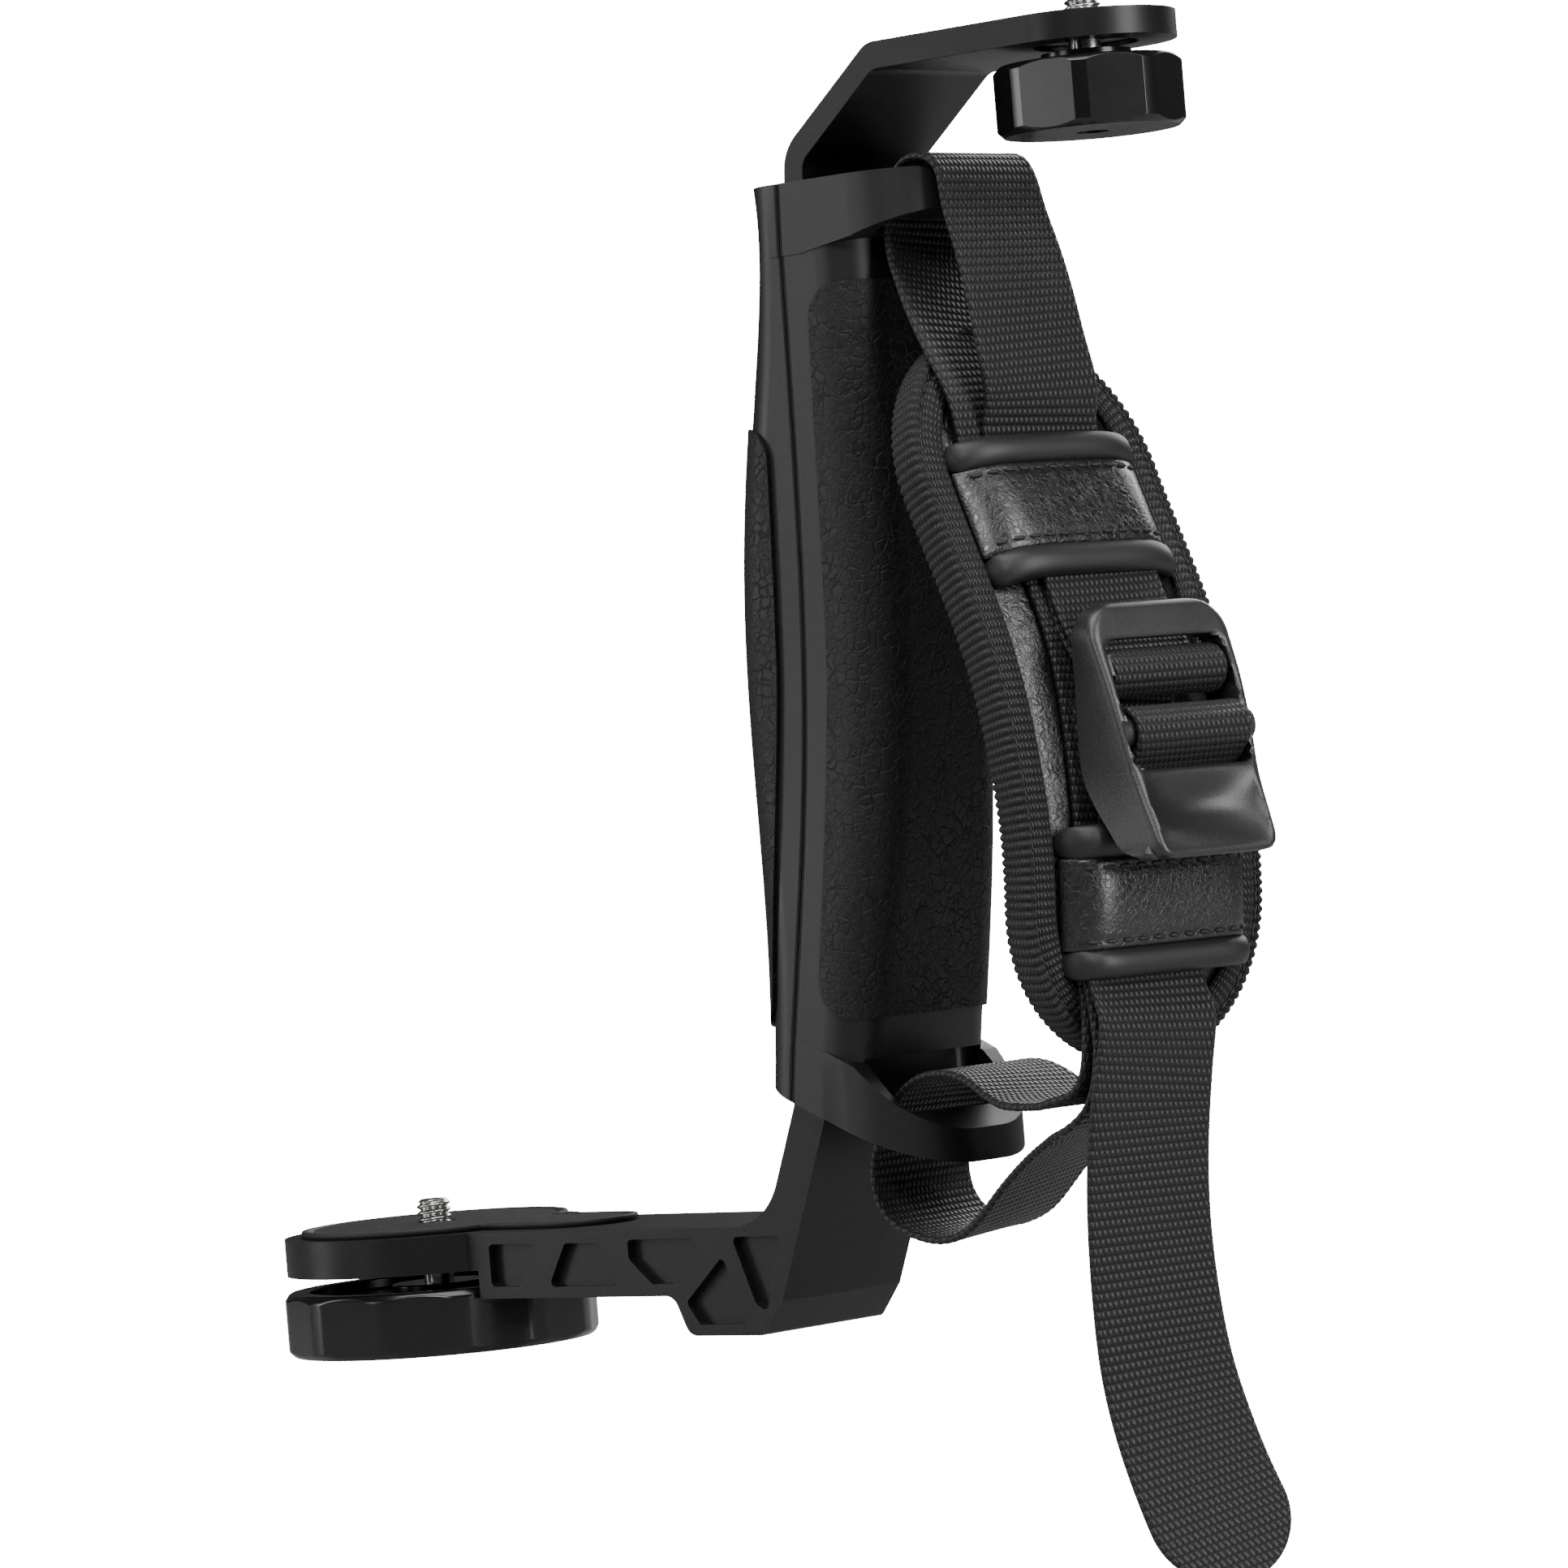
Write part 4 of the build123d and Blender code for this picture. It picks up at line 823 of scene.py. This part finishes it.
# thread_weave: rows of yarn floats laid like bricks, on a map measured in metres
thread_weave, add, entry = new_group(
    "thread_weave",
    {"Across pitch": ("NodeSocketFloat", 0.001), "Along pitch": ("NodeSocketFloat", 0.0015),
     "Row shift": ("NodeSocketFloat", 0.5)},
    {"Height": "NodeSocketFloat", "Gap": "NodeSocketFloat"})
cloth_map = add("ShaderNodeUVMap", uv_map="weave")
axes = add("ShaderNodeSeparateXYZ", {0: cloth_map})
column = add("DIVIDE", (axes.outputs["X"], entry.outputs["Across pitch"]))
row = add("DIVIDE", (axes.outputs["Y"], entry.outputs["Along pitch"]))
row_number = add("FLOOR", (row,))
shifted = add("MULTIPLY_ADD", (row_number, entry.outputs["Row shift"], column))
rounds = []
for count, fullness in ((shifted, 0.55), (row, 0.5)):
    wave = add("SINE", (add("MULTIPLY", (count, pi)),))
    rounds.append(add("POWER", (add("ABSOLUTE", (wave,)), fullness)))
hill = add("MULTIPLY", tuple(rounds))
fibre_map = add("ShaderNodeCombineXYZ", {"X": axes.outputs["X"], "Y": axes.outputs["Y"]})
fibre = add("ShaderNodeTexNoise", {"Vector": fibre_map, "Scale": 5200.0, "Detail": 2.0})
height = add("MULTIPLY_ADD", (fibre, 0.18, hill))
gap = add("ShaderNodeMapRange", {"Value": hill, "From Min": 0.25, "From Max": 0.75,
                                 "To Min": 1.0, "To Max": 0.0})
add("NodeGroupOutput", {"Height": height, "Gap": gap})


def woven_finish(name, colour, roughness, across, along, depth, shift=0.5, sheen=0.25):
    """Nylon yarn: each float catches the light along its top, and painted shade darkens the gaps
    between floats.
    """
    material, add = new_material(name)
    worn = group_node(add, handling, {
        "Color": (*colour, 1), "Roughness": roughness, "Patch size": 9 * mm, "Amount": 0.12})
    weave = group_node(add, thread_weave, {
        "Across pitch": across * mm, "Along pitch": along * mm, "Row shift": shift})
    # painted shade: the colour is darkened almost to black in the gaps between the yarn floats
    painted_shade_gain = add("MULTIPLY_ADD", (weave.outputs["Gap"], -0.95, 1.0))
    shade = add("ShaderNodeVectorMath", {0: worn.outputs["Color"], 3: painted_shade_gain}, operation="SCALE")
    rougher = add("MULTIPLY_ADD", (weave.outputs["Gap"], 0.3, worn.outputs["Roughness"]))
    bump = add("ShaderNodeBump", {"Height": weave.outputs["Height"], "Strength": 1.0,
                                  "Distance": depth * mm})
    surface = add("ShaderNodeBsdfPrincipled", {
        "Base Color": shade, "Roughness": rougher, "Normal": bump,
        "Sheen Weight": sheen, "Sheen Roughness": 0.5, "Specular IOR Level": 0.45})
    add("ShaderNodeOutputMaterial", {"Surface": surface})
    return material


binding_cloth = woven_finish("binding_cloth", (0.006, 0.006, 0.0064), 0.42, 0.55, rib, 0.22,
                             shift=0.0, sheen=0.04)
binding.data.materials.append(binding_cloth)
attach(binding, "frame")
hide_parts("pad_binding")

# ---- webbing ----------------------------------------------------------------------------
# One flat nylon strap, 26 mm wide, with firm rolled edges.  It is sewn round the buckle's
# upper bar, goes over the top ring, down the pad, round the bottom ring and back to the
# buckle's lower bar, and ends in a free tail.
webbing_wide, webbing_thick = 26.0, 1.4
row_pitch, column_pitch = 1.5, 1.15
layer_gap = 0.15
layer1 = cushion_half + layer_gap
layer2 = layer1 + webbing_thick + layer_gap
layer3 = layer2 + webbing_thick + layer_gap
middle1, middle2, middle3 = (start + webbing_thick / 2 for start in (layer1, layer2, layer3))


def webbing_run(name, stations, round_end=False):
    """Strap along stations of x, y, z, turn and dip; returns the piece and its length."""
    line = natural_line(stations, row_pitch / 6)
    ahead = np.gradient(line[:, :3], axis=0)
    ahead /= np.linalg.norm(ahead, axis=1)[:, None]
    columns = 46
    side = [-1 + 2 * k / columns for k in range(columns + 1)]
    section = [(u, 1.0) for u in side] + [(u, -1.0) for u in side[::-1]]
    n, points, uvs = len(section), [], []
    travelled, whole = 0.0, len(line)
    length = float(np.sum(np.linalg.norm(np.diff(line[:, :3], axis=0), axis=1)))
    for i in range(whole):
        if i:
            travelled += float(np.linalg.norm(line[i, :3] - line[i - 1, :3]))
        turn, dip = radians(line[i, 3]), radians(line[i, 4])
        forward = Vector(ahead[i])
        across = Vector((sin(turn) * cos(dip), cos(turn) * cos(dip), -sin(dip)))
        across = (across - forward * across.dot(forward)).normalized()
        face = forward.cross(across)
        half = webbing_wide / 2
        if round_end and length - travelled < half:
            half = sqrt(max(0.04, half ** 2 - (half - (length - travelled)) ** 2))
        wave = abs(sin(pi * travelled / row_pitch)) - 0.6
        for k, (u, up) in enumerate(section):
            brink = webbing_wide / 2 * (1 - abs(u))
            roll = 1.0 - 0.55 * max(0.0, 1 - brink / 0.7) ** 2
            bead = 0.10 * max(0.0, 1 - abs(brink - 0.9) / 0.8)
            lift = (webbing_thick / 2 - 0.08) * roll + 0.11 * wave * roll + bead
            points.append(Vector(line[i, :3]) + across * (u * half) + face * (lift * up))
            uvs.append((u * half * mm, travelled * mm))
    faces = tube_faces(whole, n)
    last = (whole - 1) * n
    faces.append(tuple(range(n - 1, -1, -1)))
    faces.append(tuple(range(last, last + n)))
    piece = outward(new_mesh_object(name, points, faces, uvs))
    return piece, length


def on_run(z, off, y=0.0, turn=8.0):
    return (*on_pad(z, off, y), turn, 0.0)


def strap_at(x, y, z, turn=8.0, dip=0.0):
    return (*strap_point(x, y, z), turn, dip)


webbing_cloth = woven_finish("webbing_cloth", (0.007, 0.007, 0.0074), 0.42, column_pitch,
                             row_pitch, 0.26, sheen=0.04)
bar1_x, bar1_z, bar1_r, buckle_y = 186.2, 90.5, 2.6, 1.5
bar2_x, bar2_z, bar2_r = 190.8, 80.3, 3.0
round_bar1 = [strap_at(bar1_x + 3.6 * cos(radians(a)), buckle_y, bar1_z + 3.6 * sin(radians(a)))
              for a in (205, 240, 275, 310, 345, 20, 55, 90, 120, 150)]
upper_stations = [
    on_run(103.6, layer2 + 0.7, 1.1), strap_at(176.4, 1.2, 99.2), strap_at(178.9, 1.4, 94.8),
    *round_bar1,
    strap_at(181.2, 1.4, 94.3), strap_at(179.6, 1.4, 96.6), strap_at(177.5, 1.3, 100.2),
    on_run(106.5, middle2 + 0.4, 1.1),
    on_run(112, middle2, 0.9), on_run(118, middle2, 0.7), on_run(124.5, middle2, 0.6),
    on_run(131.8, middle2, 0.5), (164.1, 0.75, 139.5, 7, 0), (163.2, 0.4, 148.0, 6, 0),
    (162.1, 0.1, 155.0, 5, 0), (160.7, 0, 162.0, 4, 0), (159.0, 0, 168.0, 3, 0),
    (157.5, 0, 173.0, 2, 0),
    (156.8, 0, 176.5, 1, 0), (156.0, 0, 179.4, 0, 0), (154.2, 0, 181.6, 0, 0),
    (151.4, 0, 182.4, 0, 0),
    (148.4, 0, 181.9, 0, 0), (146.1, 0, 179.8, 0, 0), (144.8, 0, 176.0, 0, 0),
    (143.6, 0, 171.5, 0, 0),
    (143.8, -0.2, 167.0, 0, 0), (146.4, -1.0, 161.0, 1, 0), (149.9, -2.2, 155.2, 3, 0),
    (153.7, -3.2, 149.5, 5, 0), (157.4, -3.7, 143.8, 7, 0), (160.2, -3.9, 137.6, 8, 0),
    *(on_run(z, middle1, y) for z, y in (
        (131.0, -4.4), (126, -4.2), (120, -3.2), (112, -1.9), (104, -1.2), (96, -1.2), (88, -1.7),
        (80, -2.4), (72, -3.0), (64, -3.6), (56, -4.1), (51, -4.4))),
]
lower_stations = [
    *(on_run(z, middle1, y) for z, y in ((50.6, -4.4), (45, -4.6), (39.0, -4.6))),
    strap_at(181.6, -4.8, 33.0), strap_at(181.4, -5.2, 27.0), strap_at(180.2, -5.5, 22.8),
    strap_at(177.2, -5.6, 20.2, 7), strap_at(173.0, -5.6, 19.2, 6), (168.0, -5.6, 18.4, 6, 0),
    (163.0, -4.6, 18.2, 4, 0), (157.0, -2.8, 18.6, 3, 0), (152.0, -1.6, 20.0, 2, 0),
    (147.5, -0.8, 22.2, 1, 0), (143.0, -0.3, 23.8, 0, 0), (138.5, 0, 24.2, 0, 0),
    (134.0, 0, 23.4, 0, 0),
    (130.4, 0, 21.4, 0, 0), (127.4, 0, 18.2, 0, 0), (125.0, 0, 14.4, 0, 0), (123.0, 0, 10.4, 0, 0),
    (122.2, 0, 5.6, 0, 0), (123.4, 0, 1.2, 0, 0), (126.3, 0, -1.8, 0, 0), (130.6, 0, -3.7, 0, 0),
    (135.6, 0, -4.1, 0, -3), (141.0, 0, -2.7, 0, -6), (146.2, -0.3, 0.8, 0, -8),
    (151.4, -0.8, 5.2, 1, -9),
    (157.0, -1.4, 9.2, 2, -9), (162.9, -2.4, 12.2, 3, -8), (169.0, -3.8, 14.0, 5, -6),
    strap_at(175.6, -4.4, 15.4, 7, -3), strap_at(180.4, -4.7, 18.2), strap_at(183.0, -4.7, 23.4),
    strap_at(183.9, -4.7, 30.0), *(on_run(z, middle2, y) for z,
                                   y in ((39.0, -4.7), (45, -4.6), (50.6, -3.5))),
]
turn_r = bar2_r + 0.2 + webbing_thick / 2
round_bar2 = [strap_at(bar2_x + turn_r * cos(radians(a)), buckle_y,
                       bar2_z + turn_r * sin(radians(a)))
              for a in range(184, -51, -26)]
adjuster_stations = [
    *(on_run(z, middle2, y) for z, y in ((50.9, -3.5), (56, -1.9), (61, -0.3), (66, 1.1))),
    strap_at(184.4, buckle_y, 70.0), strap_at(186.1, buckle_y, 74.2), *round_bar2,
    strap_at(190.6, buckle_y, 74.4), strap_at(187.4, buckle_y, 70.2),
    *(on_run(z, middle3, y) for z, y in ((66, 1.1), (61, -0.3), (56, -1.9), (50.9, -3.5))),
]
tail_stations = [
    *(on_run(z, middle3, y) for z, y in ((50.6, -3.5), (45, -4.6), (38.8, -4.8))),
    strap_at(186.3, -5.0, 33.0, 9), (184.9, -8.4, 26.0, 10, 0), (183.5, -9.0, 18.0, 11.5, 0),
    (181.8, -9.0, 8.0, 12.5, 0), (180.9, -9.0, -4.0, 13.5, 0), (181.1, -9.0, -16.0, 16, 0),
    (182.4, -9.0, -28.0, 20, 0), (185.0, -9.0, -38.0, 24, 0), (188.4, -9.0, -47.0, 27, 0),
    (190.8, -9.0, -52.2, 29, 0), (196.6, -9.0, -63.4, 29, 0),
]
for name, stations, stands_for, held, rests_on, rounded in (
    ("webbing_upper", upper_stations, ("webbing_top_loop", "webbing_pad_run",
                                       "webbing_buckle_anchor"),
     "stretched", ("front_shell", "pad_cushion"), False),
    ("webbing_lower", lower_stations, ("webbing_lower_loop",), "hung", ("front_shell",), False),
    ("webbing_adjuster_run", adjuster_stations, ("webbing_adjuster", "webbing_buckle_turn"),
     "stretched", ("buckle",), False),
    ("webbing_tail_run", tail_stations, ("webbing_tail",), "hung", ("lower_keeper_band",), True),
):
    strap, length = webbing_run(name, stations, rounded)
    strap.data.materials.append(webbing_cloth)
    if name == "webbing_adjuster_run":
        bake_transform(strap)
    else:
        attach(strap, "frame")
    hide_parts(*stands_for)
    list(rests_on)

# ---- keepers ----------------------------------------------------------------------------
# Two bridges of glossy leather over the webbing, sewn down at both ends, each between two
# soft rubber tubes, with a row of black stitches along each long edge.
keeper_leather = leather_finish("keeper_leather", (0.007, 0.007, 0.0075), 0.26, 1.4, 0.06, warp=1.6,
                                crease=0.20, pores=0.04, specular=0.6, coat=0.2)
tube_rubber = hard_finish("tube_rubber", (0.010, 0.010, 0.0105), 0.50, grain_size=0.25,
                          grain_depth=0.004, patch=8, amount=0.08)
thread_black = hard_finish("thread_black", (0.008, 0.008, 0.008), 0.6, grain_size=0.2,
                           grain_depth=0.05, patch=2, amount=0.1)

stitch_tool, add, entry = node_tool("stitch_row", {
    "Spacing": ("NodeSocketFloat", 0.0065), "Stitch length": ("NodeSocketFloat", 0.0048),
    "Thread": ("NodeSocketFloat", 0.0009), "Uneven": ("NodeSocketFloat", 0.06),
    "Seed": ("NodeSocketInt", 3),
    "Material": ("NodeSocketMaterial", None)})
sewn_line = add("GeometryNodeMeshToCurve", {"Mesh": entry.outputs["Geometry"]})
marks = add("GeometryNodeCurveToPoints", {"Curve": sewn_line,
                                          "Length": entry.outputs["Spacing"]}, mode="LENGTH")
bead = add("GeometryNodeMeshUVSphere", {"Segments": 8, "Rings": 6, "Radius": 0.5})
wobble = add("FunctionNodeRandomValue", {2: -1.0, 3: 1.0, "Seed": entry.outputs["Seed"]},
             data_type="FLOAT")
slack = add("MULTIPLY_ADD", (wobble.outputs[1], entry.outputs["Uneven"], 1.0))
long_way = add("MULTIPLY", (slack, entry.outputs["Stitch length"]))
size = add("ShaderNodeCombineXYZ", {"X": entry.outputs["Thread"], "Y": entry.outputs["Thread"],
                                    "Z": long_way})
sewn = add("GeometryNodeInstanceOnPoints", {"Points": marks.outputs["Points"], "Instance": bead,
                                            "Rotation": marks.outputs["Rotation"], "Scale": size})
close_tool(add, entry, sewn)


def stitches(name, lines, spacing, long, thick, seed):
    """Rows of stitches along lines of points in millimetres."""
    row_points, row_edges = [], []
    for line in lines:
        first = len(row_points)
        row_points += [Vector(p) * mm for p in line]
        row_edges += [(first + i, first + i + 1) for i in range(len(line) - 1)]
    rows_mesh = bpy.data.meshes.new(name)
    rows_mesh.from_pydata(row_points, row_edges, [])
    sewn_rows = new_object(name, rows_mesh)
    run_tool(sewn_rows, stitch_tool, {"Spacing": spacing * mm, "Stitch length": long * mm,
                                      "Thread": thick * mm, "Seed": seed, "Material": thread_black})
    sewn_rows.data.shade_smooth()
    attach(sewn_rows, "frame")
    return sewn_rows


for name, high, low, half, fullness, passage in (
    ("upper", 125.6, 110.2, 20.9, 5.0, layer2 + webbing_thick + layer_gap),
    ("lower", 60.2, 44.6, 20.4, 9.0, layer3 + webbing_thick + layer_gap),
):
    crown, foot = passage + 1.5, cushion_half + 0.35

    def bridge(y):
        """Height of the keeper's outer face over the pad at one place across it."""
        return foot + (crown - foot) * (1 - min(1.0, abs(y) / half) ** fullness)

    across, up_steps = 64, 18
    points, faces, uvs = [], [], []
    for i in range(up_steps + 1):
        t = i / up_steps
        z = high + (low - high) * t
        brink = min(t, 1 - t) * (high - low)
        edge_fold = -0.45 * max(0.0, 1 - brink / 0.8) + 0.22 * max(0.0, 1 - abs(brink - 1.1) / 0.7)
        seam = -0.30 * max(0.0, 1 - abs(brink - 1.7) / 0.7)
        belly = 0.55 * sin(pi * t)
        for k in range(across + 1):
            y = -half + 2 * half * k / across
            ease = max(0.0, 1 - (abs(y) / half) ** 6)
            points.append(on_pad(z, bridge(y) + (edge_fold + seam + belly) * ease, y))
    top_count = len(points)
    for i in range(up_steps + 1):
        z = high + (low - high) * i / up_steps
        for k in range(across + 1):
            y = -half + 2 * half * k / across
            points.append(on_pad(z, max(foot - 0.5, bridge(y) - 1.4), y))
    stride = across + 1
    for base in (0, top_count):
        for i in range(up_steps):
            for k in range(across):
                a = base + i * stride + k
                faces.append((a, a + 1, a + stride + 1, a + stride))
    rim = ([(0, k) for k in range(across)] + [(i, across) for i in range(up_steps)]
           + [(up_steps, k) for k in range(across, 0, -1)] + [(i, 0) for i in range(up_steps, 0,
                                                                                    -1)])
    for a, b in zip(rim, rim[1:] + rim[:1]):
        p, q = a[0] * stride + a[1], b[0] * stride + b[1]
        faces.append((p, q, top_count + q, top_count + p))
    band = outward(new_mesh_object(name + "_keeper_leather", points, faces))
    smooth = band.modifiers.new("softer", "SUBSURF")
    smooth.levels = smooth.render_levels = 1
    band.data.materials.append(keeper_leather)
    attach(band, "frame")
    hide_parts(name + "_keeper_band")

    lines = []
    for z in (high - 1.7, low + 1.7):
        lines.append([on_pad(z, bridge(y) + 0.16, y) for y in np.linspace(-half + 3.0, half - 3.0,
                                                                          40)])
    rows_sewn = stitches(name + "_keeper_stitches", lines, 3.3, 2.4, 0.8, 5)

    points, faces = [], []
    ring, spans = 20, 60
    for top in (high + 2.3, low - 2.3):
        first = len(points)
        for k in range(spans + 1):
            u = -1 + 2 * k / spans
            y = u * (half + 0.25)
            off = bridge(y) - 1.0
            dome = sqrt(max(0.0, 1 - max(0.0, (abs(u) - 0.90) / 0.10) ** 2))
            tall, deep_r = 2.65 * max(dome, 0.02), 2.4 * max(dome, 0.02)
            for i in range(ring):
                a = 2 * pi * i / ring
                points.append(on_pad(top + tall * sin(a), off + deep_r * cos(a), y))
        faces += tube_faces(spans + 1, ring, first)
        faces.append(tuple(range(first, first + ring)))
        faces.append(tuple(range(first + spans * ring, first + (spans + 1) * ring)))
    tubes = outward(new_mesh_object(name + "_keeper_tube_pair", points, faces))
    tubes.data.materials.append(tube_rubber)
    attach(tubes, "frame")
    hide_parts(name + "_keeper_tubes")

seam_lines = []
for face in (1, -1):
    seam_lines.append([on_pad(z + dz * 1.45, face * 2.95, y + dy * 1.45) for y, z, dy, dz in (
        pad_edge(i / 240, 0.0) for i in range(241))])
seam = stitches("binding_stitches", seam_lines, 2.9, 2.2, 0.55, 9)

# ---- buckle -----------------------------------------------------------------------------
# Moulded nylon ladder buckle with a spark-textured face: two cross bars in a window, and a
# scooped thumb tab that tips the frame to let the webbing slide.
buckle_black = hard_finish("buckle_black", (0.011, 0.011, 0.0115), 0.38, grain_size=0.28,
                           grain_depth=0.040,
                           patch=10, amount=0.08, specular=0.7)
# side view: height, back of the cheeks, front face, back of the thin tab, and half width in front
buckle_side = [
    (102.6, 184.6, 186.4, 184.6, 15.6), (101.8, 183.8, 187.0, 183.8, 15.9),
    (99.0, 183.4, 187.9, 183.4, 16.1),
    (96.2, 183.3, 188.6, 183.3, 16.1), (92.0, 183.3, 190.0, 183.3, 16.0),
    (88.0, 183.4, 191.4, 183.4, 15.8),
    (84.0, 183.5, 192.6, 183.5, 15.6), (80.0, 183.6, 193.7, 183.6, 15.3),
    (77.0, 183.7, 194.5, 187.0, 15.1),
    (74.0, 184.1, 195.2, 191.6, 14.8), (71.0, 185.4, 196.2, 193.4, 14.5),
    (68.0, 187.3, 197.4, 194.6, 14.3),
    (65.0, 189.6, 198.7, 195.8, 14.1), (62.0, 191.9, 199.9, 197.2, 13.9),
    (60.0, 193.6, 200.5, 198.2, 13.8),
    (58.7, 195.6, 200.4, 199.0, 13.7),
]
window_high, window_low, window_half, rail_half = 96.2, 74.0, 13.6, 16.3
buckle_top, buckle_foot, top_corner, foot_corner, window_corner = 102.6, 58.7, 6.5, 3.0, 2.4


def buckle_at(z, k):
    levels = np.array(buckle_side)[::-1]
    return float(np.interp(z, levels[:, 0], levels[:, k]))


def rounded_box(y, z, half, low, high, corner):
    """Signed distance to a rounded rectangle seen from the front, minus inside."""
    middle, tall = (low + high) / 2, (high - low) / 2
    dy, dz = abs(y) - half + corner, abs(z - middle) - tall + corner
    return min(max(dy, dz), 0.0) + sqrt(max(dy, 0) ** 2 + max(dz, 0) ** 2) - corner


def rounding_loss(distance, radius):
    """How much a rounded edge takes off at a distance in from the edge."""
    if distance >= radius:
        return 0.0
    return radius - sqrt(max(0.0, radius ** 2 - (radius - distance) ** 2))


def buckle_sheet(y_share, z):
    """Front and back points of the buckle at a share of its half width and a height."""
    front_half = buckle_at(z, 4)
    top_cut = max(0.0, z - (buckle_top - top_corner))
    squeeze = top_corner - sqrt(max(0.0, top_corner ** 2 - top_cut ** 2))
    low_cut = max(0.0, (buckle_foot + foot_corner) - z)
    squeeze += foot_corner - sqrt(max(0.0, foot_corner ** 2 - low_cut ** 2))
    front_half, back_half = front_half - squeeze, rail_half - squeeze
    y = y_share * front_half
    front, back, thin = buckle_at(z, 2), buckle_at(z, 1), buckle_at(z, 3)
    scoop = max(0.0, 1 - abs(z - 66.5) / 8.0)
    scoop = scoop * scoop * (3 - 2 * scoop)
    hollow = max(0.0, 1 - (y / 12.6) ** 2)
    front -= 4.2 * scoop * hollow ** 0.7
    edge = (1 - abs(y_share)) * front_half
    front -= rounding_loss(edge, 1.6)
    rim = min(buckle_top - z, z - buckle_foot)
    front -= rounding_loss(rim, 1.3)
    gap = rounded_box(y, z, window_half, window_low, window_high, window_corner)
    if gap >= -0.01:
        front -= rounding_loss(gap, 0.9)
    if z < window_low + 3 and abs(y) < window_half:
        inner = min(1.0, max(0.0, (window_half - abs(y)) / 1.5))
        back = back + (min(thin, front - 2.0) - back) * inner
    back_y = y_share * back_half
    return (front, y), (min(back, front - 0.6), back_y)


edge_shares = [0.0, 0.012, 0.03, 0.06, 0.10]
inner_shares = [window_half / 16.1 - 0.005, window_half / 16.1 - 0.04]
half_columns = sorted({1 - s for s in edge_shares} | {inner_shares[0], inner_shares[1]}
                      | {0.87, 0.72, 0.6, 0.48, 0.36, 0.24, 0.12})
shares = [-s for s in reversed(half_columns)] + [0.0] + half_columns
levels = sorted({102.6, 102.5, 102.25, 101.8, 101.3, 100.6, 99.5, 98.4, 97.3, 96.8, 96.4, 96.2,
                 95.8, 95.2, 94.5,
                 93.8, 76.4, 75.6, 74.9, 74.3, 74.0, 73.7, 73.2, 72.5, 71.5, 60.2, 59.7, 59.2,
                 58.9, 58.7}
                | {92.5 - 1.15 * i for i in range(14)} | {70.6 - 0.9 * i for i in range(12)},
                reverse=True)
points, cell = [], {}
for i, z in enumerate(levels):
    for k, share in enumerate(shares):
        (front, y_front), (back, y_back) = buckle_sheet(share, z)
        centre = buckle_y - 1.5 * min(1.0, max(0.0, (90 - z) / 31))
        cell[i, k] = len(points)
        points.append(strap_point(front, centre + y_front, z))
        points.append(strap_point(back, centre + y_back, z))
faces, kept = [], set()
for i in range(len(levels) - 1):
    for k in range(len(shares) - 1):
        z, share = (levels[i] + levels[i + 1]) / 2, (shares[k] + shares[k + 1]) / 2
        if rounded_box(share * buckle_at(z, 4), z, window_half, window_low, window_high,
                       window_corner) > 0:
            kept.add((i, k))
for i, k in kept:
    loop = [cell[i, k], cell[i, k + 1], cell[i + 1, k + 1], cell[i + 1, k]]
    faces.append(tuple(loop))
    faces.append(tuple(v + 1 for v in reversed(loop)))
    for (di, dk), a, b in (((-1, 0), loop[0], loop[1]), ((0, 1), loop[1], loop[2]),
                           ((1, 0), loop[2], loop[3]), ((0, -1), loop[3], loop[0])):
        if (i + di, k + dk) not in kept:
            faces.append((a, a + 1, b + 1, b))
for bar_x, bar_z, bar_r in ((bar1_x, bar1_z, bar1_r), (bar2_x, bar2_z, bar2_r)):
    first, ring = len(points), 24
    for y in (-15.0, 15.0):
        for i in range(ring):
            a = 2 * pi * i / ring
            points.append(strap_point(bar_x + bar_r * cos(a), buckle_y + y, bar_z + bar_r * sin(a)))
    faces += tube_faces(2, ring, first)
    faces.append(tuple(range(first + ring - 1, first - 1, -1)))
    faces.append(tuple(range(first + ring, first + 2 * ring)))
buckle = outward(new_mesh_object("ladder_buckle", points, faces))
buckle.data.set_sharp_from_angle(angle=radians(48))
buckle.data.materials.append(buckle_black)
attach(buckle, "buckle")
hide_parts("buckle")
